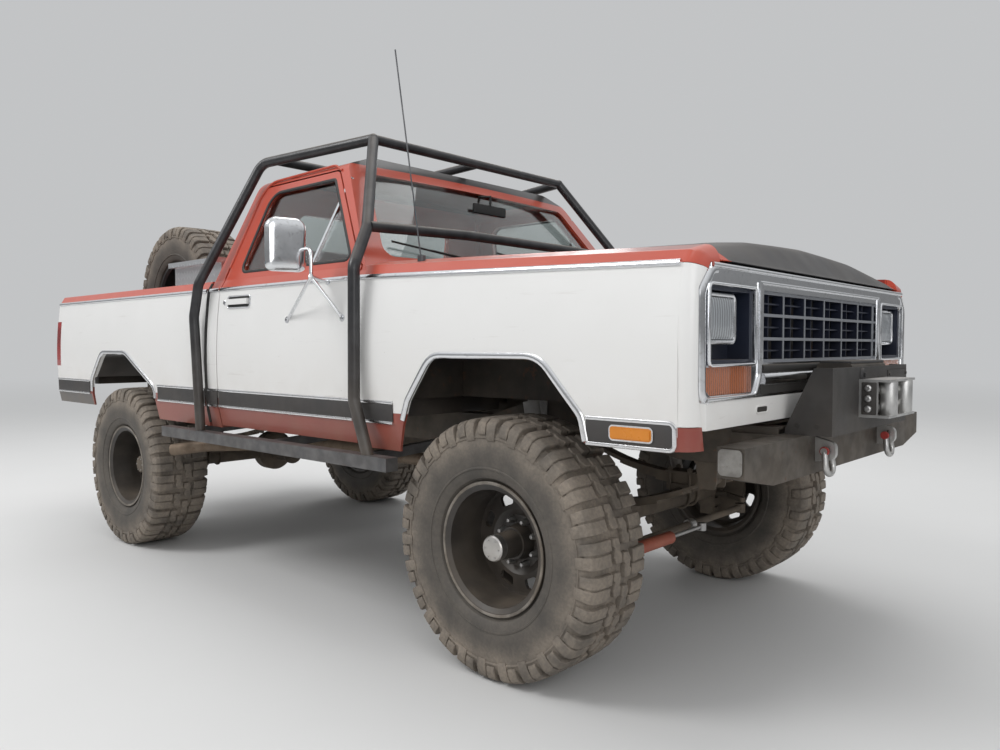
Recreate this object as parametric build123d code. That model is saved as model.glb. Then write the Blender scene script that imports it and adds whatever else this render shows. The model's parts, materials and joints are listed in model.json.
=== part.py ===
from build123d import *
import math
import os

os.makedirs("parts", exist_ok=True)

# A lifted four-wheel-drive pickup, modelled in millimetres from the middle of its front axle:
# +X forward, +Y left, +Z up, z = 0 on the floor. place() shifts it so that x = 0 is mid-length.

# Driving dimensions: wheels and axles
WHEELBASE = 2921
TYRE_RADIUS = 463
TYRE_WIDTH = 318
TREAD_WIDTH = 276
LUG_DEPTH = 18
LUG_COUNT = 22
LUG_LENGTH = 92
RIM_RADIUS = 236
BEAD_RADIUS = 216
RIM_WIDTH = 262
RIM_WALL = 8
DISC_INSET = 30
WINDOW_COUNT = 8
FRONT_TRACK = 1664
REAR_TRACK = 1720
KINGPIN_HALF = FRONT_TRACK / 2 - 152
AXLE_TUBE_RADIUS = 42
FIT_GAP = 0.3
MOVING_GAP = 6

# Driving dimensions: body lengths along X
NOSE_X = 800
FENDER_FRONT_X = 752
COWL_X = -560
DOOR_FRONT_X = -716
DOOR_REAR_X = -1795
CAB_BACK_X = -1896
BED_FRONT_X = -1922
BED_TAIL_X = -3925

# Driving dimensions: body section
BODY_HALF = 1006
SILL_HALF = BODY_HALF - 24
BAND_HALF = BODY_HALF - 3
BELT_HALF = BODY_HALF - 20
SHOULDER_HALF = BODY_HALF - 48
HOOD_HALF = SHOULDER_HALF - 112
SILL_Z = 768
BAND_LOW_Z = 875
BAND_TOP_Z = 957
BELT_Z = 1450
SHOULDER_Z = 1498
BELT_FRONT_Z = 1408
SHOULDER_FRONT_Z = 1446
SKIN = 12
DOOR_THICK = 60
PILLAR = 38
PANEL_GAP = 8

# Driving dimensions: cab
ROOF_Z = 2052
ROOF_EDGE_Z = 1988
ROOF_EDGE_HALF = SHOULDER_HALF - 176
ROOF_FRONT_X = -1060
ROOF_REAR_X = -1745
FLOOR_Z = 910
FLOOR_THICK = 30
SCREEN_CENTRE_X = -625
SCREEN_CORNER_X = -700
SCREEN_SLANT = -0.74
GLASS = 6

# Driving dimensions: bed
BED_WALL = 100
BED_FLOOR_Z = 1000
BED_FLOOR_THICK = 20
BED_LOW_Z = 804
TAILGATE_THICK = 55
TAILGATE_HALF = BODY_HALF - 181
TAILGATE_LOW_Z = 985

# Driving dimensions: frame and bars
RAIL_HALF = 432
RAIL_WIDTH = 80
RAIL_DEPTH = 140
RAIL_WALL = 8
CAGE_RADIUS = 24
CROSS_RADIUS = 22
CAGE_GAP = 18
CAGE_TOP_Z = 2106
SLIDER_WIDTH = 58
SLIDER_DEPTH = 52
SLIDER_TOP_Z = 752
BUMPER_BACK_X = 800
BUMPER_FRONT_X = 885
BUMPER_HALF = 862
FAIRLEAD_REACH = 1068

AXLE_Z = TYRE_RADIUS
FRONT_END_X = FAIRLEAD_REACH
REAR_END_X = BED_TAIL_X - 8
SHIFT_X = -(FRONT_END_X + REAR_END_X) / 2


# Shape helpers

def corner_points(corners):
    """Lines and arcs of a closed outline from (u, v) or (u, v, radius) corners."""
    count = len(corners)
    spans = []
    for i in range(count):
        before, here, after = (Vector(*corners[(i + k) % count][:2]) for k in (-1, 0, 1))
        radius = corners[i][2] if len(corners[i]) > 2 else 0
        if radius == 0:
            spans.append((here, None, here))
            continue
        back = (before - here).normalized()
        ahead = (after - here).normalized()
        half = math.radians(back.get_angle(ahead)) / 2
        reach = radius / math.tan(half)
        middle = (back + ahead).normalized()
        crown = here + middle * (radius / math.sin(half) - radius)
        spans.append((here + back * reach, crown, here + ahead * reach))
    edges = []
    for i, (start, crown, end) in enumerate(spans):
        if crown is not None:
            edges.append(ThreePointArc(start, crown, end))
        following = spans[(i + 1) % count][0]
        if (following - end).length > 1e-6:
            edges.append(Line(end, following))
    return edges


def outline(corners):
    return make_face(corner_points(corners))


def prism_y(corners, y0, y1):
    """An XZ outline carried from y0 to y1."""
    plane = Plane(origin=(0, y0, 0), x_dir=(1, 0, 0), z_dir=(0, -1, 0))
    return extrude(plane * outline(corners), amount=y1 - y0, dir=(0, 1, 0))


def prism_x(corners, x0, x1):
    """A YZ outline carried from x0 to x1."""
    plane = Plane(origin=(x0, 0, 0), x_dir=(0, 1, 0), z_dir=(1, 0, 0))
    return extrude(plane * outline(corners), amount=x1 - x0, dir=(1, 0, 0))


def prism_z(corners, z0, z1):
    """An XY outline carried from z0 to z1."""
    return extrude(Plane.XY.offset(z0) * outline(corners), amount=z1 - z0, dir=(0, 0, 1))


def block(x0, x1, y0, y1, z0, z1):
    size = (abs(x1 - x0), abs(y1 - y0), abs(z1 - z0))
    return Pos((x0 + x1) / 2, (y0 + y1) / 2, (z0 + z1) / 2) * Box(*size)


def rod(start, end, radius):
    start, end = Vector(*start), Vector(*end)
    plane = Plane(origin=start, z_dir=end - start)
    return extrude(plane * Circle(radius), amount=(end - start).length)


def tube(points, radius, bend):
    path = Line(*points) if len(points) == 2 else FilletPolyline(*points, radius=bend)
    return sweep(Plane(origin=path @ 0, z_dir=path % 0) * Circle(radius), path=path)


def turned_y(corners, y, sign=1):
    """A (width, radius) outline turned about the Y axis at the given y, outboard along sign."""
    face = Plane(origin=(0, 0, 0), x_dir=(0, sign, 0), z_dir=(sign, 0, 0)) * outline(corners)
    return Pos(0, y, 0) * revolve(face, axis=Axis.Y)


def flipped(shape):
    return mirror(shape, about=Plane.XZ)


def both(shape):
    """The shape and its mirror image on the other side."""
    return [shape, flipped(shape)]


def fuse(shapes):
    first, *others = shapes
    return first.fuse(*others) if others else first


def place(node, *shapes):
    solids = [solid for shape in shapes for solid in shape.solids()]
    moved = [Pos(SHIFT_X, 0, 0) * solid for solid in solids]
    export_step(moved[0] if len(moved) == 1 else Compound(children=moved), f"parts/{node}.step")


# Body side section, outer skin from sill to shoulder

def side_skin(belt_z, shoulder_z, inset=0, low_z=SILL_Z):
    """Outer (y, z) points of the left side, and the crown of the arc between band and belt."""
    points = [
        (SILL_HALF - inset, low_z),
        (BAND_HALF - inset, BAND_LOW_Z),
        (BODY_HALF - inset, BAND_TOP_Z),
        (BELT_HALF - inset, belt_z),
        (SHOULDER_HALF - inset, shoulder_z - inset),
    ]
    crown = (BODY_HALF - inset + 2, (BAND_TOP_Z + belt_z) / 2)
    return points, crown


def side_face(x, belt_z, shoulder_z, inset, low_z, inner):
    """Section of the left side at x, filled inward to the inner points."""
    points, crown = side_skin(belt_z, shoulder_z, inset, low_z)
    edges = [Line(points[0], points[1]), Line(points[1], points[2])]
    edges.append(ThreePointArc(points[2], crown, points[3]))
    edges.append(Line(points[3], points[4]))
    chain = [points[4]] + inner + [points[0]]
    edges += [Line(a, b) for a, b in zip(chain, chain[1:])]
    return Plane(origin=(x, 0, 0), x_dir=(0, 1, 0), z_dir=(1, 0, 0)) * make_face(edges)


def side_solid(x0, x1, inner_half, inset=0, low_z=SILL_Z, top_extra=0):
    """The left side between x0 and x1, filled inward to inner_half."""
    top = SHOULDER_Z - inset + top_extra
    inner = [(inner_half, top), (inner_half, low_z)]
    face = side_face(x0, BELT_Z, SHOULDER_Z, inset, low_z, inner)
    return extrude(face, amount=x1 - x0, dir=(1, 0, 0))


# Wheels

def ring_face(width, radius):
    """A regular outline about the Y axis at the given width, one corner to a lug of each side."""
    plane = Plane(origin=(0, width, 0), x_dir=(1, 0, 0), z_dir=(0, 1, 0))
    return plane * RegularPolygon(radius, LUG_COUNT)


def tyre():
    """One tyre about the Y axis at the origin, the corners of its flat lugs out to TYRE_RADIUS."""
    half = TYRE_WIDTH / 2
    base = TYRE_RADIUS - LUG_DEPTH
    tread = TREAD_WIDTH / 2
    bead = RIM_WIDTH / 2 - 14
    wall = [(bead, RIM_RADIUS + 2), (half - 10, RIM_RADIUS + 34), (half - 2, 340), (half - 8, base - 50),
            (tread - 8, base)]
    sections = [(-w, r) for w, r in wall] + [(w, r) for w, r in reversed(wall)]
    carcass = loft([ring_face(w, r) for w, r in sections], ruled=True)
    carcass -= rod((0, -half, 0), (0, half, 0), BEAD_RADIUS)
    pitch = 360 / LUG_COUNT
    corner = math.asin(LUG_LENGTH / 2 / TYRE_RADIUS)
    crown = TYRE_RADIUS * math.cos(corner) / math.cos(math.radians(pitch / 2) - corner)
    block_shape = [(14, base - 20), (tread - 30, base - 73), (half - 9, base - 73), (tread + 2, crown), (14, crown)]
    lugs = []
    for side, start in ((1, 0), (-1, pitch / 2)):
        corners = [(side * w, r) for w, r in block_shape]
        lug = prism_x([(y, -r) for y, r in corners], -LUG_LENGTH / 2, LUG_LENGTH / 2)
        lugs += [Rot(0, start + i * pitch, 0) * lug for i in range(LUG_COUNT)]
    return fuse([carcass] + lugs)


def rim(hub):
    """One steel wheel about the Y axis, outboard along +Y, with its hub profile."""
    lip = RIM_WIDTH / 2
    inner = BEAD_RADIUS - FIT_GAP - RIM_WALL
    barrel = turned_y([
        (-lip, RIM_RADIUS), (14 - lip - FIT_GAP, RIM_RADIUS), (14 - lip - FIT_GAP, BEAD_RADIUS - FIT_GAP),
        (lip - 14 + FIT_GAP, BEAD_RADIUS - FIT_GAP), (lip - 14 + FIT_GAP, RIM_RADIUS),
        (lip, RIM_RADIUS), (lip, RIM_RADIUS - 12), (lip - 10, inner), (20, inner - 10),
        (-60, inner - 10), (10 - lip, inner), (-lip, RIM_RADIUS - 12)], 0)
    disc = turned_y([
        (-60, inner - 8), (-30, inner - 8), (-DISC_INSET, inner - 20), (-DISC_INSET + 14, 120),
        (-DISC_INSET, 96), (-DISC_INSET, 50), (-DISC_INSET - 12, 50), (-DISC_INSET - 12, 98),
        (-DISC_INSET, 118), (-DISC_INSET - 14, inner - 24)], 0)
    window = [(-26, 136, 8), (26, 136, 8), (38, 176, 14), (-38, 176, 14)]
    cutter = prism_y(window, -120, 60)
    for i in range(WINDOW_COUNT):
        disc -= Rot(0, (i + 0.5) * 360 / WINDOW_COUNT, 0) * cutter
    return fuse([barrel, disc, turned_y(hub, 0)])


FRONT_HUB = [(-60, 0), (-60, 66), (-DISC_INSET, 66), (18, 58), (18, 50), (92, 46), (96, 42),
             (122, 40), (126, 34), (126, 0)]
REAR_HUB = [(-60, 0), (-60, 66), (-DISC_INSET, 66), (8, 62), (8, 50), (44, 46), (48, 40), (48, 0)]

tyre_shape = tyre()
rim_front = rim(FRONT_HUB)
rim_rear = rim(REAR_HUB)
WHEELS = (
    # end, side name, side sign, x, track
    ("front", "left", 1, 0, FRONT_TRACK),
    ("front", "right", -1, 0, FRONT_TRACK),
    ("rear", "left", 1, -WHEELBASE, REAR_TRACK),
    ("rear", "right", -1, -WHEELBASE, REAR_TRACK),
)
for end, side, sign, x, track in WHEELS:
    spot = Pos(x, sign * track / 2, AXLE_Z)
    rim_shape = rim_front if end == "front" else rim_rear
    if sign < 0:
        rim_shape = flipped(rim_shape)
    place(f"tyre_{end}_{side}", spot * tyre_shape)
    place(f"wheel_{end}_{side}", spot * rim_shape)

# Axles and steering

STEER_ARM = 190
TIE_ROD_HALF = KINGPIN_HALF - 90
TIE_ROD_Z = AXLE_Z - 62
TIE_ROD_RADIUS = 16
DIFF_Y = -235
SPRING_HALF = 392
SPRING_WIDTH = 63
HOUSING_RADIUS = 128
SHOCK_FRONT_Y = 520
SHOCK_REAR_Y = 575


def differential(x, y, nose, reach):
    """A banjo housing round the axle line with its pinion nose along nose (+1 or -1)."""
    bowl = Pos(x, y, AXLE_Z) * Rot(0, 90, 0) * Cylinder(HOUSING_RADIUS, 120)
    bowl = chamfer(bowl.edges().filter_by(GeomType.CIRCLE), 22)
    cover = rod((x - nose * 58, y, AXLE_Z), (x - nose * 92, y, AXLE_Z), HOUSING_RADIUS - 30)
    snout = rod((x + nose * 40, y, AXLE_Z), (x + nose * reach, y, AXLE_Z), 58)
    flange = rod((x + nose * reach, y, AXLE_Z), (x + nose * (reach + 14), y, AXLE_Z), 70)
    return [bowl, cover, snout, flange]


def front_axle():
    yoke_half = KINGPIN_HALF - 40
    beam = rod((0, -yoke_half, AXLE_Z), (0, yoke_half, AXLE_Z), AXLE_TUBE_RADIUS)
    parts = [beam] + differential(0, DIFF_Y, -1, 190)
    for sign in (1, -1):
        web = block(-34, 34, sign * (yoke_half - 24), sign * yoke_half, AXLE_Z - 122, AXLE_Z + 122)
        parts.append(web)
        for level in (-1, 1):
            z0 = AXLE_Z + level * 96
            z1 = AXLE_Z + level * 122
            arm = prism_z([(-30, sign * (yoke_half - 10)), (30, sign * (yoke_half - 10)),
                           (26, sign * (KINGPIN_HALF + 24), 20), (-26, sign * (KINGPIN_HALF + 24), 20)],
                          min(z0, z1), max(z0, z1))
            parts.append(arm)
        pad = block(-70, 70, sign * (SPRING_HALF - 42), sign * (SPRING_HALF + 42),
                    AXLE_Z + 30, AXLE_Z + 60)
        shock_y = sign * (SHOCK_FRONT_Y - 18)
        ear = block(-112, -20, shock_y, shock_y - sign * 8, AXLE_Z - 14, AXLE_Z + 34)
        parts += [pad, ear]
    return fuse(parts)


def rear_axle():
    x = -WHEELBASE
    end = REAR_TRACK / 2 - 96
    parts = [rod((x, -end, AXLE_Z), (x, end, AXLE_Z), AXLE_TUBE_RADIUS + 4)]
    parts += differential(x, 0, 1, 230)
    for sign in (1, -1):
        parts.append(rod((x, sign * (end - 60), AXLE_Z), (x, sign * end, AXLE_Z), 150))
        parts.append(block(x - 70, x + 70, sign * (SPRING_HALF + 60 - 42), sign * (SPRING_HALF + 60 + 42),
                           AXLE_Z + 30, AXLE_Z + 100))
        shock_y = sign * (SHOCK_REAR_Y - 18)
        parts.append(block(x - 112, x - 20, shock_y, shock_y - sign * 8, AXLE_Z - 34, AXLE_Z + 14))
    return fuse(parts)


def knuckle():
    """Left steering knuckle: body on the kingpin, spindle, brake backing and forward arm."""
    reach = 92 - MOVING_GAP
    body = block(-26, 26, KINGPIN_HALF - 24, KINGPIN_HALF + 34, AXLE_Z - reach, AXLE_Z + reach)
    body -= rod((0, KINGPIN_HALF - 60, AXLE_Z), (0, KINGPIN_HALF + 10, AXLE_Z), AXLE_TUBE_RADIUS + 14)
    disc_y = FRONT_TRACK / 2 - 60 - MOVING_GAP
    spindle = rod((0, KINGPIN_HALF + 8, AXLE_Z), (0, disc_y, AXLE_Z), 36)
    rotor = rod((0, disc_y - 40, AXLE_Z), (0, disc_y - 12, AXLE_Z), 142)
    arm = prism_z([(-10, KINGPIN_HALF - 16), (24, KINGPIN_HALF + 30), (STEER_ARM + 18, TIE_ROD_HALF + 22, 12),
                   (STEER_ARM + 18, TIE_ROD_HALF - 20, 12), (82, KINGPIN_HALF - 10)],
                  AXLE_Z - 36, AXLE_Z - 14)
    return fuse([body, spindle, rotor, arm])


def tie_rod():
    parts = [rod((STEER_ARM, -TIE_ROD_HALF, TIE_ROD_Z), (STEER_ARM, TIE_ROD_HALF, TIE_ROD_Z), TIE_ROD_RADIUS)]
    for sign in (1, -1):
        end = (STEER_ARM, sign * TIE_ROD_HALF)
        parts.append(rod((*end, TIE_ROD_Z - 22), (*end, AXLE_Z - 36 - MOVING_GAP), 24))
    return fuse(parts)


place("front_axle", front_axle())
place("rear_axle", rear_axle())
knuckle_left = knuckle()
place("knuckle_left", knuckle_left)
place("knuckle_right", flipped(knuckle_left))
place("tie_rod", tie_rod())

# Frame

RAIL_LINE = (
    # x, top z
    (BUMPER_BACK_X, 905), (430, 905), (250, 948), (-250, 948), (-490, 872), (581 - WHEELBASE, 872),
    (361 - WHEELBASE, 962), (-299 - WHEELBASE, 962), (-499 - WHEELBASE, 925), (-3870, 925),
)
CROSSMEMBERS = (
    # x, width, top below rail top
    (700, 90, 20), (-420, 60, 75), (-1420, 110, 134), (-2180, 70, 30), (-3140, 70, 30), (-3800, 90, 16),
)
BODY_MOUNTS = (-700, -1300, -1840)
RECEIVER_HALF = 32
RECEIVER_BORE_HALF = 25.5
RECEIVER_PIN_RADIUS = 8
RECEIVER_PIN_INSET = 45
RECEIVER_Z = 742
RECEIVER_MOUTH_X = -3900
RECEIVER_LENGTH = 200
RECEIVER_DEPTH = 150


def rail_top(x):
    for (x0, z0), (x1, z1) in zip(RAIL_LINE, RAIL_LINE[1:]):
        if x1 <= x <= x0:
            return z0 + (z1 - z0) * (x - x0) / (x1 - x0)
    return RAIL_LINE[0][1] if x > 0 else RAIL_LINE[-1][1]


def rail():
    top = list(RAIL_LINE)
    low = [(x, z - RAIL_DEPTH) for x, z in reversed(RAIL_LINE)]
    full = prism_y(top + low, RAIL_HALF - RAIL_WIDTH, RAIL_HALF)
    reach = 20
    hollow_top = [(top[0][0] + reach, top[0][1] - RAIL_WALL)] + [(x, z - RAIL_WALL) for x, z in top[1:-1]]
    hollow_top.append((top[-1][0] - reach, top[-1][1] - RAIL_WALL))
    hollow_low = [(x, z - RAIL_DEPTH + 2 * RAIL_WALL) for x, z in reversed(hollow_top)]
    return full - prism_y(hollow_top + hollow_low, RAIL_HALF - RAIL_WIDTH - 1, RAIL_HALF - RAIL_WALL)


def chassis_frame():
    left = rail()
    parts = [left, flipped(left)]
    for x, width, drop in CROSSMEMBERS:
        top = rail_top(x) - drop
        half = RAIL_HALF - RAIL_WALL + 2
        parts.append(block(x - width / 2, x + width / 2, -half, half, top - 60, top))
    return fuse(parts)


def body_mounts():
    """Rubber pads between the rails and the cab floor, three to a side."""
    pads = []
    for x in BODY_MOUNTS:
        low = rail_top(x) + FIT_GAP
        high = FLOOR_Z - FLOOR_THICK - FIT_GAP
        pads += both(rod((x, RAIL_HALF - 30, low), (x, RAIL_HALF - 30, high), 26))
    return pads


def hitch_receiver():
    """Square tube under the last crossmember, with its pin hole, on a hanger."""
    x, width, drop = CROSSMEMBERS[-1]
    top = rail_top(x) - drop - 60
    tube_x = (RECEIVER_MOUTH_X, RECEIVER_MOUTH_X + RECEIVER_LENGTH)
    tongue = block(*tube_x, -RECEIVER_HALF, RECEIVER_HALF, RECEIVER_Z - RECEIVER_HALF, RECEIVER_Z + RECEIVER_HALF)
    tongue -= block(tube_x[0] - 1, tube_x[0] + RECEIVER_DEPTH, -RECEIVER_BORE_HALF, RECEIVER_BORE_HALF,
                    RECEIVER_Z - RECEIVER_BORE_HALF, RECEIVER_Z + RECEIVER_BORE_HALF)
    pin_x = tube_x[0] + RECEIVER_PIN_INSET
    tongue -= rod((pin_x, -RECEIVER_HALF - 1, RECEIVER_Z), (pin_x, RECEIVER_HALF + 1, RECEIVER_Z),
                  RECEIVER_PIN_RADIUS)
    hanger = block(x - width / 2, x + width / 2, -60, 60, RECEIVER_Z + RECEIVER_HALF - 4, top)
    return fuse([tongue, hanger])


place("chassis_frame", chassis_frame())
place("body_mounts", *body_mounts())
place("hitch_receiver", hitch_receiver())

# Springs, shocks, engine and driveline

LEAF_THICK = 10
EYE_RADIUS = 23
EYE_OVERLAP = 3
HANGER_PLATE = 6
SPRINGS = (
    # x, mid z of the main leaf, half chord, eye z, half spacing, leaf half angles in degrees
    (0, AXLE_Z + 60 + 50, 545, 700, SPRING_HALF, (30, 24, 18, 12, 7)),
    (-WHEELBASE, AXLE_Z + 100 + 50, 650, 698, SPRING_HALF + 60, (20, 16, 12, 8, 4)),
)


def leaf_pack(x, mid_z, half_chord, eye_z, leaves):
    """Leaves bent about one centre above the axle, the main leaf on top, eyes at its ends."""
    rise = eye_z - mid_z
    bend = (half_chord ** 2 + rise ** 2) / (2 * rise)
    centre_z = mid_z + bend
    reach = math.degrees(math.asin(half_chord / bend))
    longest = leaves[0]
    parts = []
    for i, angle in enumerate(leaves):
        half = math.radians(reach * angle / longest)
        r0 = bend + i * LEAF_THICK
        r1 = r0 + LEAF_THICK
        inner = [(x + r0 * math.sin(a), centre_z - r0 * math.cos(a)) for a in (-half, 0, half)]
        outer = [(x + r1 * math.sin(a), centre_z - r1 * math.cos(a)) for a in (half, 0, -half)]
        face = make_face([ThreePointArc(*inner), Line(inner[2], outer[0]),
                          ThreePointArc(*outer), Line(outer[2], inner[0])])
        plane = Plane(origin=(0, -SPRING_WIDTH / 2, 0), x_dir=(1, 0, 0), z_dir=(0, -1, 0))
        parts.append(extrude(plane * face, amount=SPRING_WIDTH, dir=(0, 1, 0)))
    for end in (-1, 1):
        eye = (x + end * half_chord, eye_z)
        eye_half = SPRING_WIDTH / 2 + EYE_OVERLAP
        parts.append(rod((eye[0], -eye_half, eye[1]), (eye[0], eye_half, eye[1]), EYE_RADIUS))
        rail_low = rail_top(eye[0]) - RAIL_DEPTH
        for side in (-1, 1):
            y0 = side * (SPRING_WIDTH / 2 + 1)
            y1 = y0 + side * HANGER_PLATE
            plate = [(eye[0] - 32, eye[1] - 32, 12), (eye[0] + 32, eye[1] - 32, 12),
                     (eye[0] + 44, rail_low - 4), (eye[0] - 44, rail_low - 4)]
            parts.append(prism_y(plate, min(y0, y1), max(y0, y1)))
        cap = SPRING_WIDTH / 2 + HANGER_PLATE + 4
        parts.append(block(eye[0] - 48, eye[0] + 48, -cap, cap, rail_low - HANGER_PLATE, rail_low))
    return fuse(parts)


def leaf_springs():
    packs = []
    for x, mid_z, half_chord, eye_z, half, leaves in SPRINGS:
        packs += both(Pos(0, half, 0) * leaf_pack(x, mid_z, half_chord, eye_z, leaves))
    return packs


SHOCKS = (
    # low end, high end
    ((-90, SHOCK_FRONT_Y, AXLE_Z + 10), (-195, SHOCK_FRONT_Y, 990)),
    ((-WHEELBASE - 90, SHOCK_REAR_Y, AXLE_Z - 10), (-WHEELBASE - 250, SHOCK_REAR_Y, 930)),
)


def shock(low, high):
    """A damper with an eye at each end and the bracket that holds its top to the rail."""
    low, high = Vector(*low), Vector(*high)
    along = (high - low).normalized()
    waist = low + (high - low) * 0.55
    parts = [rod(low, high, 12), rod(low + along * 44, waist, 28), rod(waist - along * 30, high - along * 40, 33)]
    for end in (low, high):
        parts.append(rod(end - Vector(0, 18, 0), end + Vector(0, 18, 0), 20))
    rail_low = rail_top(high.X) - RAIL_DEPTH
    parts.append(block(high.X - 22, high.X + 22, RAIL_HALF, high.Y - 18, high.Z - 24, high.Z + 22))
    parts.append(block(high.X - 22, high.X + 22, RAIL_HALF, RAIL_HALF + 8, rail_low + 30, high.Z + 22))
    return fuse(parts)


ENGINE = block(-470, 250, -260, 260, 870, 1330)
GEARBOX_Z = 850


def gearbox():
    bell = prism_x([(-190, 760, 40), (190, 760, 40), (190, 1040, 90), (-190, 1040, 90)], -610, -472)
    case = prism_x([(-110, 760, 20), (110, 760, 20), (120, 930, 40), (-120, 930, 40)], -1080, -610)
    transfer = prism_x([(-260, 640, 50), (110, 700, 50), (120, 872, 40), (-240, 850, 50)], -1300, -1080)
    rear_out = rod((-1300, 0, GEARBOX_Z - 30), (-1360, 0, GEARBOX_Z - 30), 48)
    front_out = rod((-1080, -190, 715), (-1060, -190, 715), 45)
    x, width, drop = CROSSMEMBERS[2]
    mounts = [block(x - 20, -1298, y - 14, y + 14, rail_top(x) - drop, 790) for y in (-75, 75)]
    return fuse([bell, case, transfer, rear_out, front_out] + mounts)


def drive_shafts():
    front = rod((-1048, -190, 712), (-220, DIFF_Y, AXLE_Z + 4), 32)
    rear = rod((-1376, 0, GEARBOX_Z - 34), (-WHEELBASE + 262, 0, AXLE_Z + 4), 42)
    return [front, rear]


def exhaust():
    tail_x = TYRE_RADIUS + 128 - WHEELBASE
    pipe = tube([(-330, -225, 868), (-330, -225, 640), (-560, -300, 612), (-1500, -330, 605), (-1960, -420, 620),
                 (tail_x + 190, -880, 640), (tail_x, BODY_HALF - 1991, 610)], 32, 60)
    silencer = prism_x([(-430, 545, 40), (-230, 545, 40), (-230, 675, 40), (-430, 675, 40)], -1900, -1360)
    return fuse([pipe, silencer])


place("leaf_springs", *leaf_springs())
place("shock_absorbers", *[s for low, high in SHOCKS for s in both(shock(low, high))])
place("engine_block", ENGINE)
place("gearbox", gearbox())
place("drive_shafts", *drive_shafts())
place("exhaust", exhaust())
place("fuel_tank", prism_x([(-330, 690, 40), (330, 690, 40), (330, 890, 20), (-330, 890, 20)], -3690, -3260))

# Fenders and front clip

FRONT_ARCH = [(-470, 600), (-452, 780), (-378, 965, 60), (-250, 1133, 90), (250, 1133, 120),
              (412, 955, 60), (428, 880), (440, 600)]
REAR_ARCH_SHAPE = [(-459, 600), (-431, 960, 60), (-269, 1128, 90), (61, 1128, 160), (421, 940, 60), (451, 600)]
REAR_ARCH = [(x - WHEELBASE, *rest) for x, *rest in REAR_ARCH_SHAPE]
INNER_TOP_Z = SHOULDER_FRONT_Z - 40


def fender():
    """Left front fender: side, shoulder and top to the hood gap, open inside."""
    def section(x, belt, shoulder, inset, low):
        top = shoulder + 26 - inset
        inner = [(HOOD_HALF + (40 if inset else 0), top), (HOOD_HALF + (40 if inset else 0), low)]
        return side_face(x, belt, shoulder, inset, low, inner)

    front = FENDER_FRONT_X
    rear = DOOR_FRONT_X + PANEL_GAP
    full = loft([section(rear, BELT_Z, SHOULDER_Z, 0, SILL_Z),
                 section(front, BELT_FRONT_Z, SHOULDER_FRONT_Z, 0, SILL_Z)], ruled=True)
    hollow = loft([section(rear - 1, BELT_Z, SHOULDER_Z, SKIN, SILL_Z - 5),
                   section(front + 1, BELT_FRONT_Z, SHOULDER_FRONT_Z, SKIN, SILL_Z - 5)], ruled=True)
    body = full - hollow
    body -= block(rear - 2, front + 2, HOOD_HALF - 1, HOOD_HALF + 60, SILL_Z - 10, INNER_TOP_Z)
    body -= prism_y(FRONT_ARCH, HOOD_HALF - 10, BODY_HALF + 10)
    low_front = [(400, 700), (400, BAND_LOW_Z), (780, BAND_LOW_Z), (780, 700)]
    body -= prism_y(low_front, HOOD_HALF - 10, BODY_HALF + 10)
    return body.solids().sort_by(SortBy.VOLUME)[-1]


def inner_fender():
    """Left wheel-house panel between the fender top and the frame."""
    wall = block(-520, 700, 560, 572, 960, INNER_TOP_Z)
    shelf = block(-520, 700, 560, HOOD_HALF + 40, INNER_TOP_Z - SKIN, INNER_TOP_Z)
    rear = block(-532, -520, 560, HOOD_HALF + 80, 960, INNER_TOP_Z)
    return fuse([wall, shelf, rear])


place("inner_fenders", *both(inner_fender()))

# Hood: one crowned panel from its cowl edge to the nose

HOOD_REAR_X = COWL_X
HOOD_THICK = 22
SURROUND_TOP_Z = 1414
HOOD_LOW_Z = SURROUND_TOP_Z + MOVING_GAP
HOOD_PROFILE = [(HOOD_REAR_X, 1566), (540, 1568, 400), (706, 1536, 90), (NOSE_X + 4, HOOD_LOW_Z)]


def hood():
    low = [(x, z - HOOD_THICK, *r) for x, z, *r in HOOD_PROFILE]
    low[-1] = (HOOD_PROFILE[-1][0] - HOOD_THICK, HOOD_PROFILE[-1][1])
    side = prism_y(HOOD_PROFILE + [(NOSE_X + 4, 1300), (HOOD_REAR_X, 1300)], -HOOD_HALF, HOOD_HALF)
    under = [(HOOD_REAR_X - 1, low[0][1])] + low[1:] + [(low[-1][0], 1290), (HOOD_REAR_X - 1, 1290)]
    inner = prism_y(under, -HOOD_HALF + 14, HOOD_HALF - 14)
    edge = HOOD_HALF - MOVING_GAP
    cross = [(-edge, 1300), (-edge, 1462), (-560, 1518, 60), (-450, 1542, 60), (0, 1586, 900), (450, 1542, 60),
             (560, 1518, 60), (edge, 1462), (edge, 1300)]
    inner_cross = [(y, z - HOOD_THICK if z > 1400 else z - 10, *r) for y, z, *r in cross]
    outer = side & prism_x(cross, HOOD_REAR_X, NOSE_X + 4)
    hollow = inner & prism_x(inner_cross, HOOD_REAR_X - 1, NOSE_X + 4)
    skirt = block(HOOD_REAR_X - 2, NOSE_X + 10, -HOOD_HALF, HOOD_HALF, 1280, HOOD_LOW_Z)
    return (outer - hollow - skirt).solids().sort_by(SortBy.VOLUME)[-1]


place("hood", hood())

# Cab: floor, firewall, posts and greenhouse shell

DOOR_LOW_Z = 780
DOOR_TOP_Z = 1960
DOOR_SWING_GAP = 8
DOOR_CLEARANCE = 11
SCREEN_STEP = 24
CAB_LOW_Z = SHOULDER_Z - 46
TUNNEL_HALF = 225
TUNNEL_Z = 1080
TUNNEL_BACK_X = -1110


def slanted_x(x, z):
    """Shift an x given at the shoulder height along the slant of the screen."""
    return x + SCREEN_SLANT * (z - SHOULDER_Z)


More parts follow.
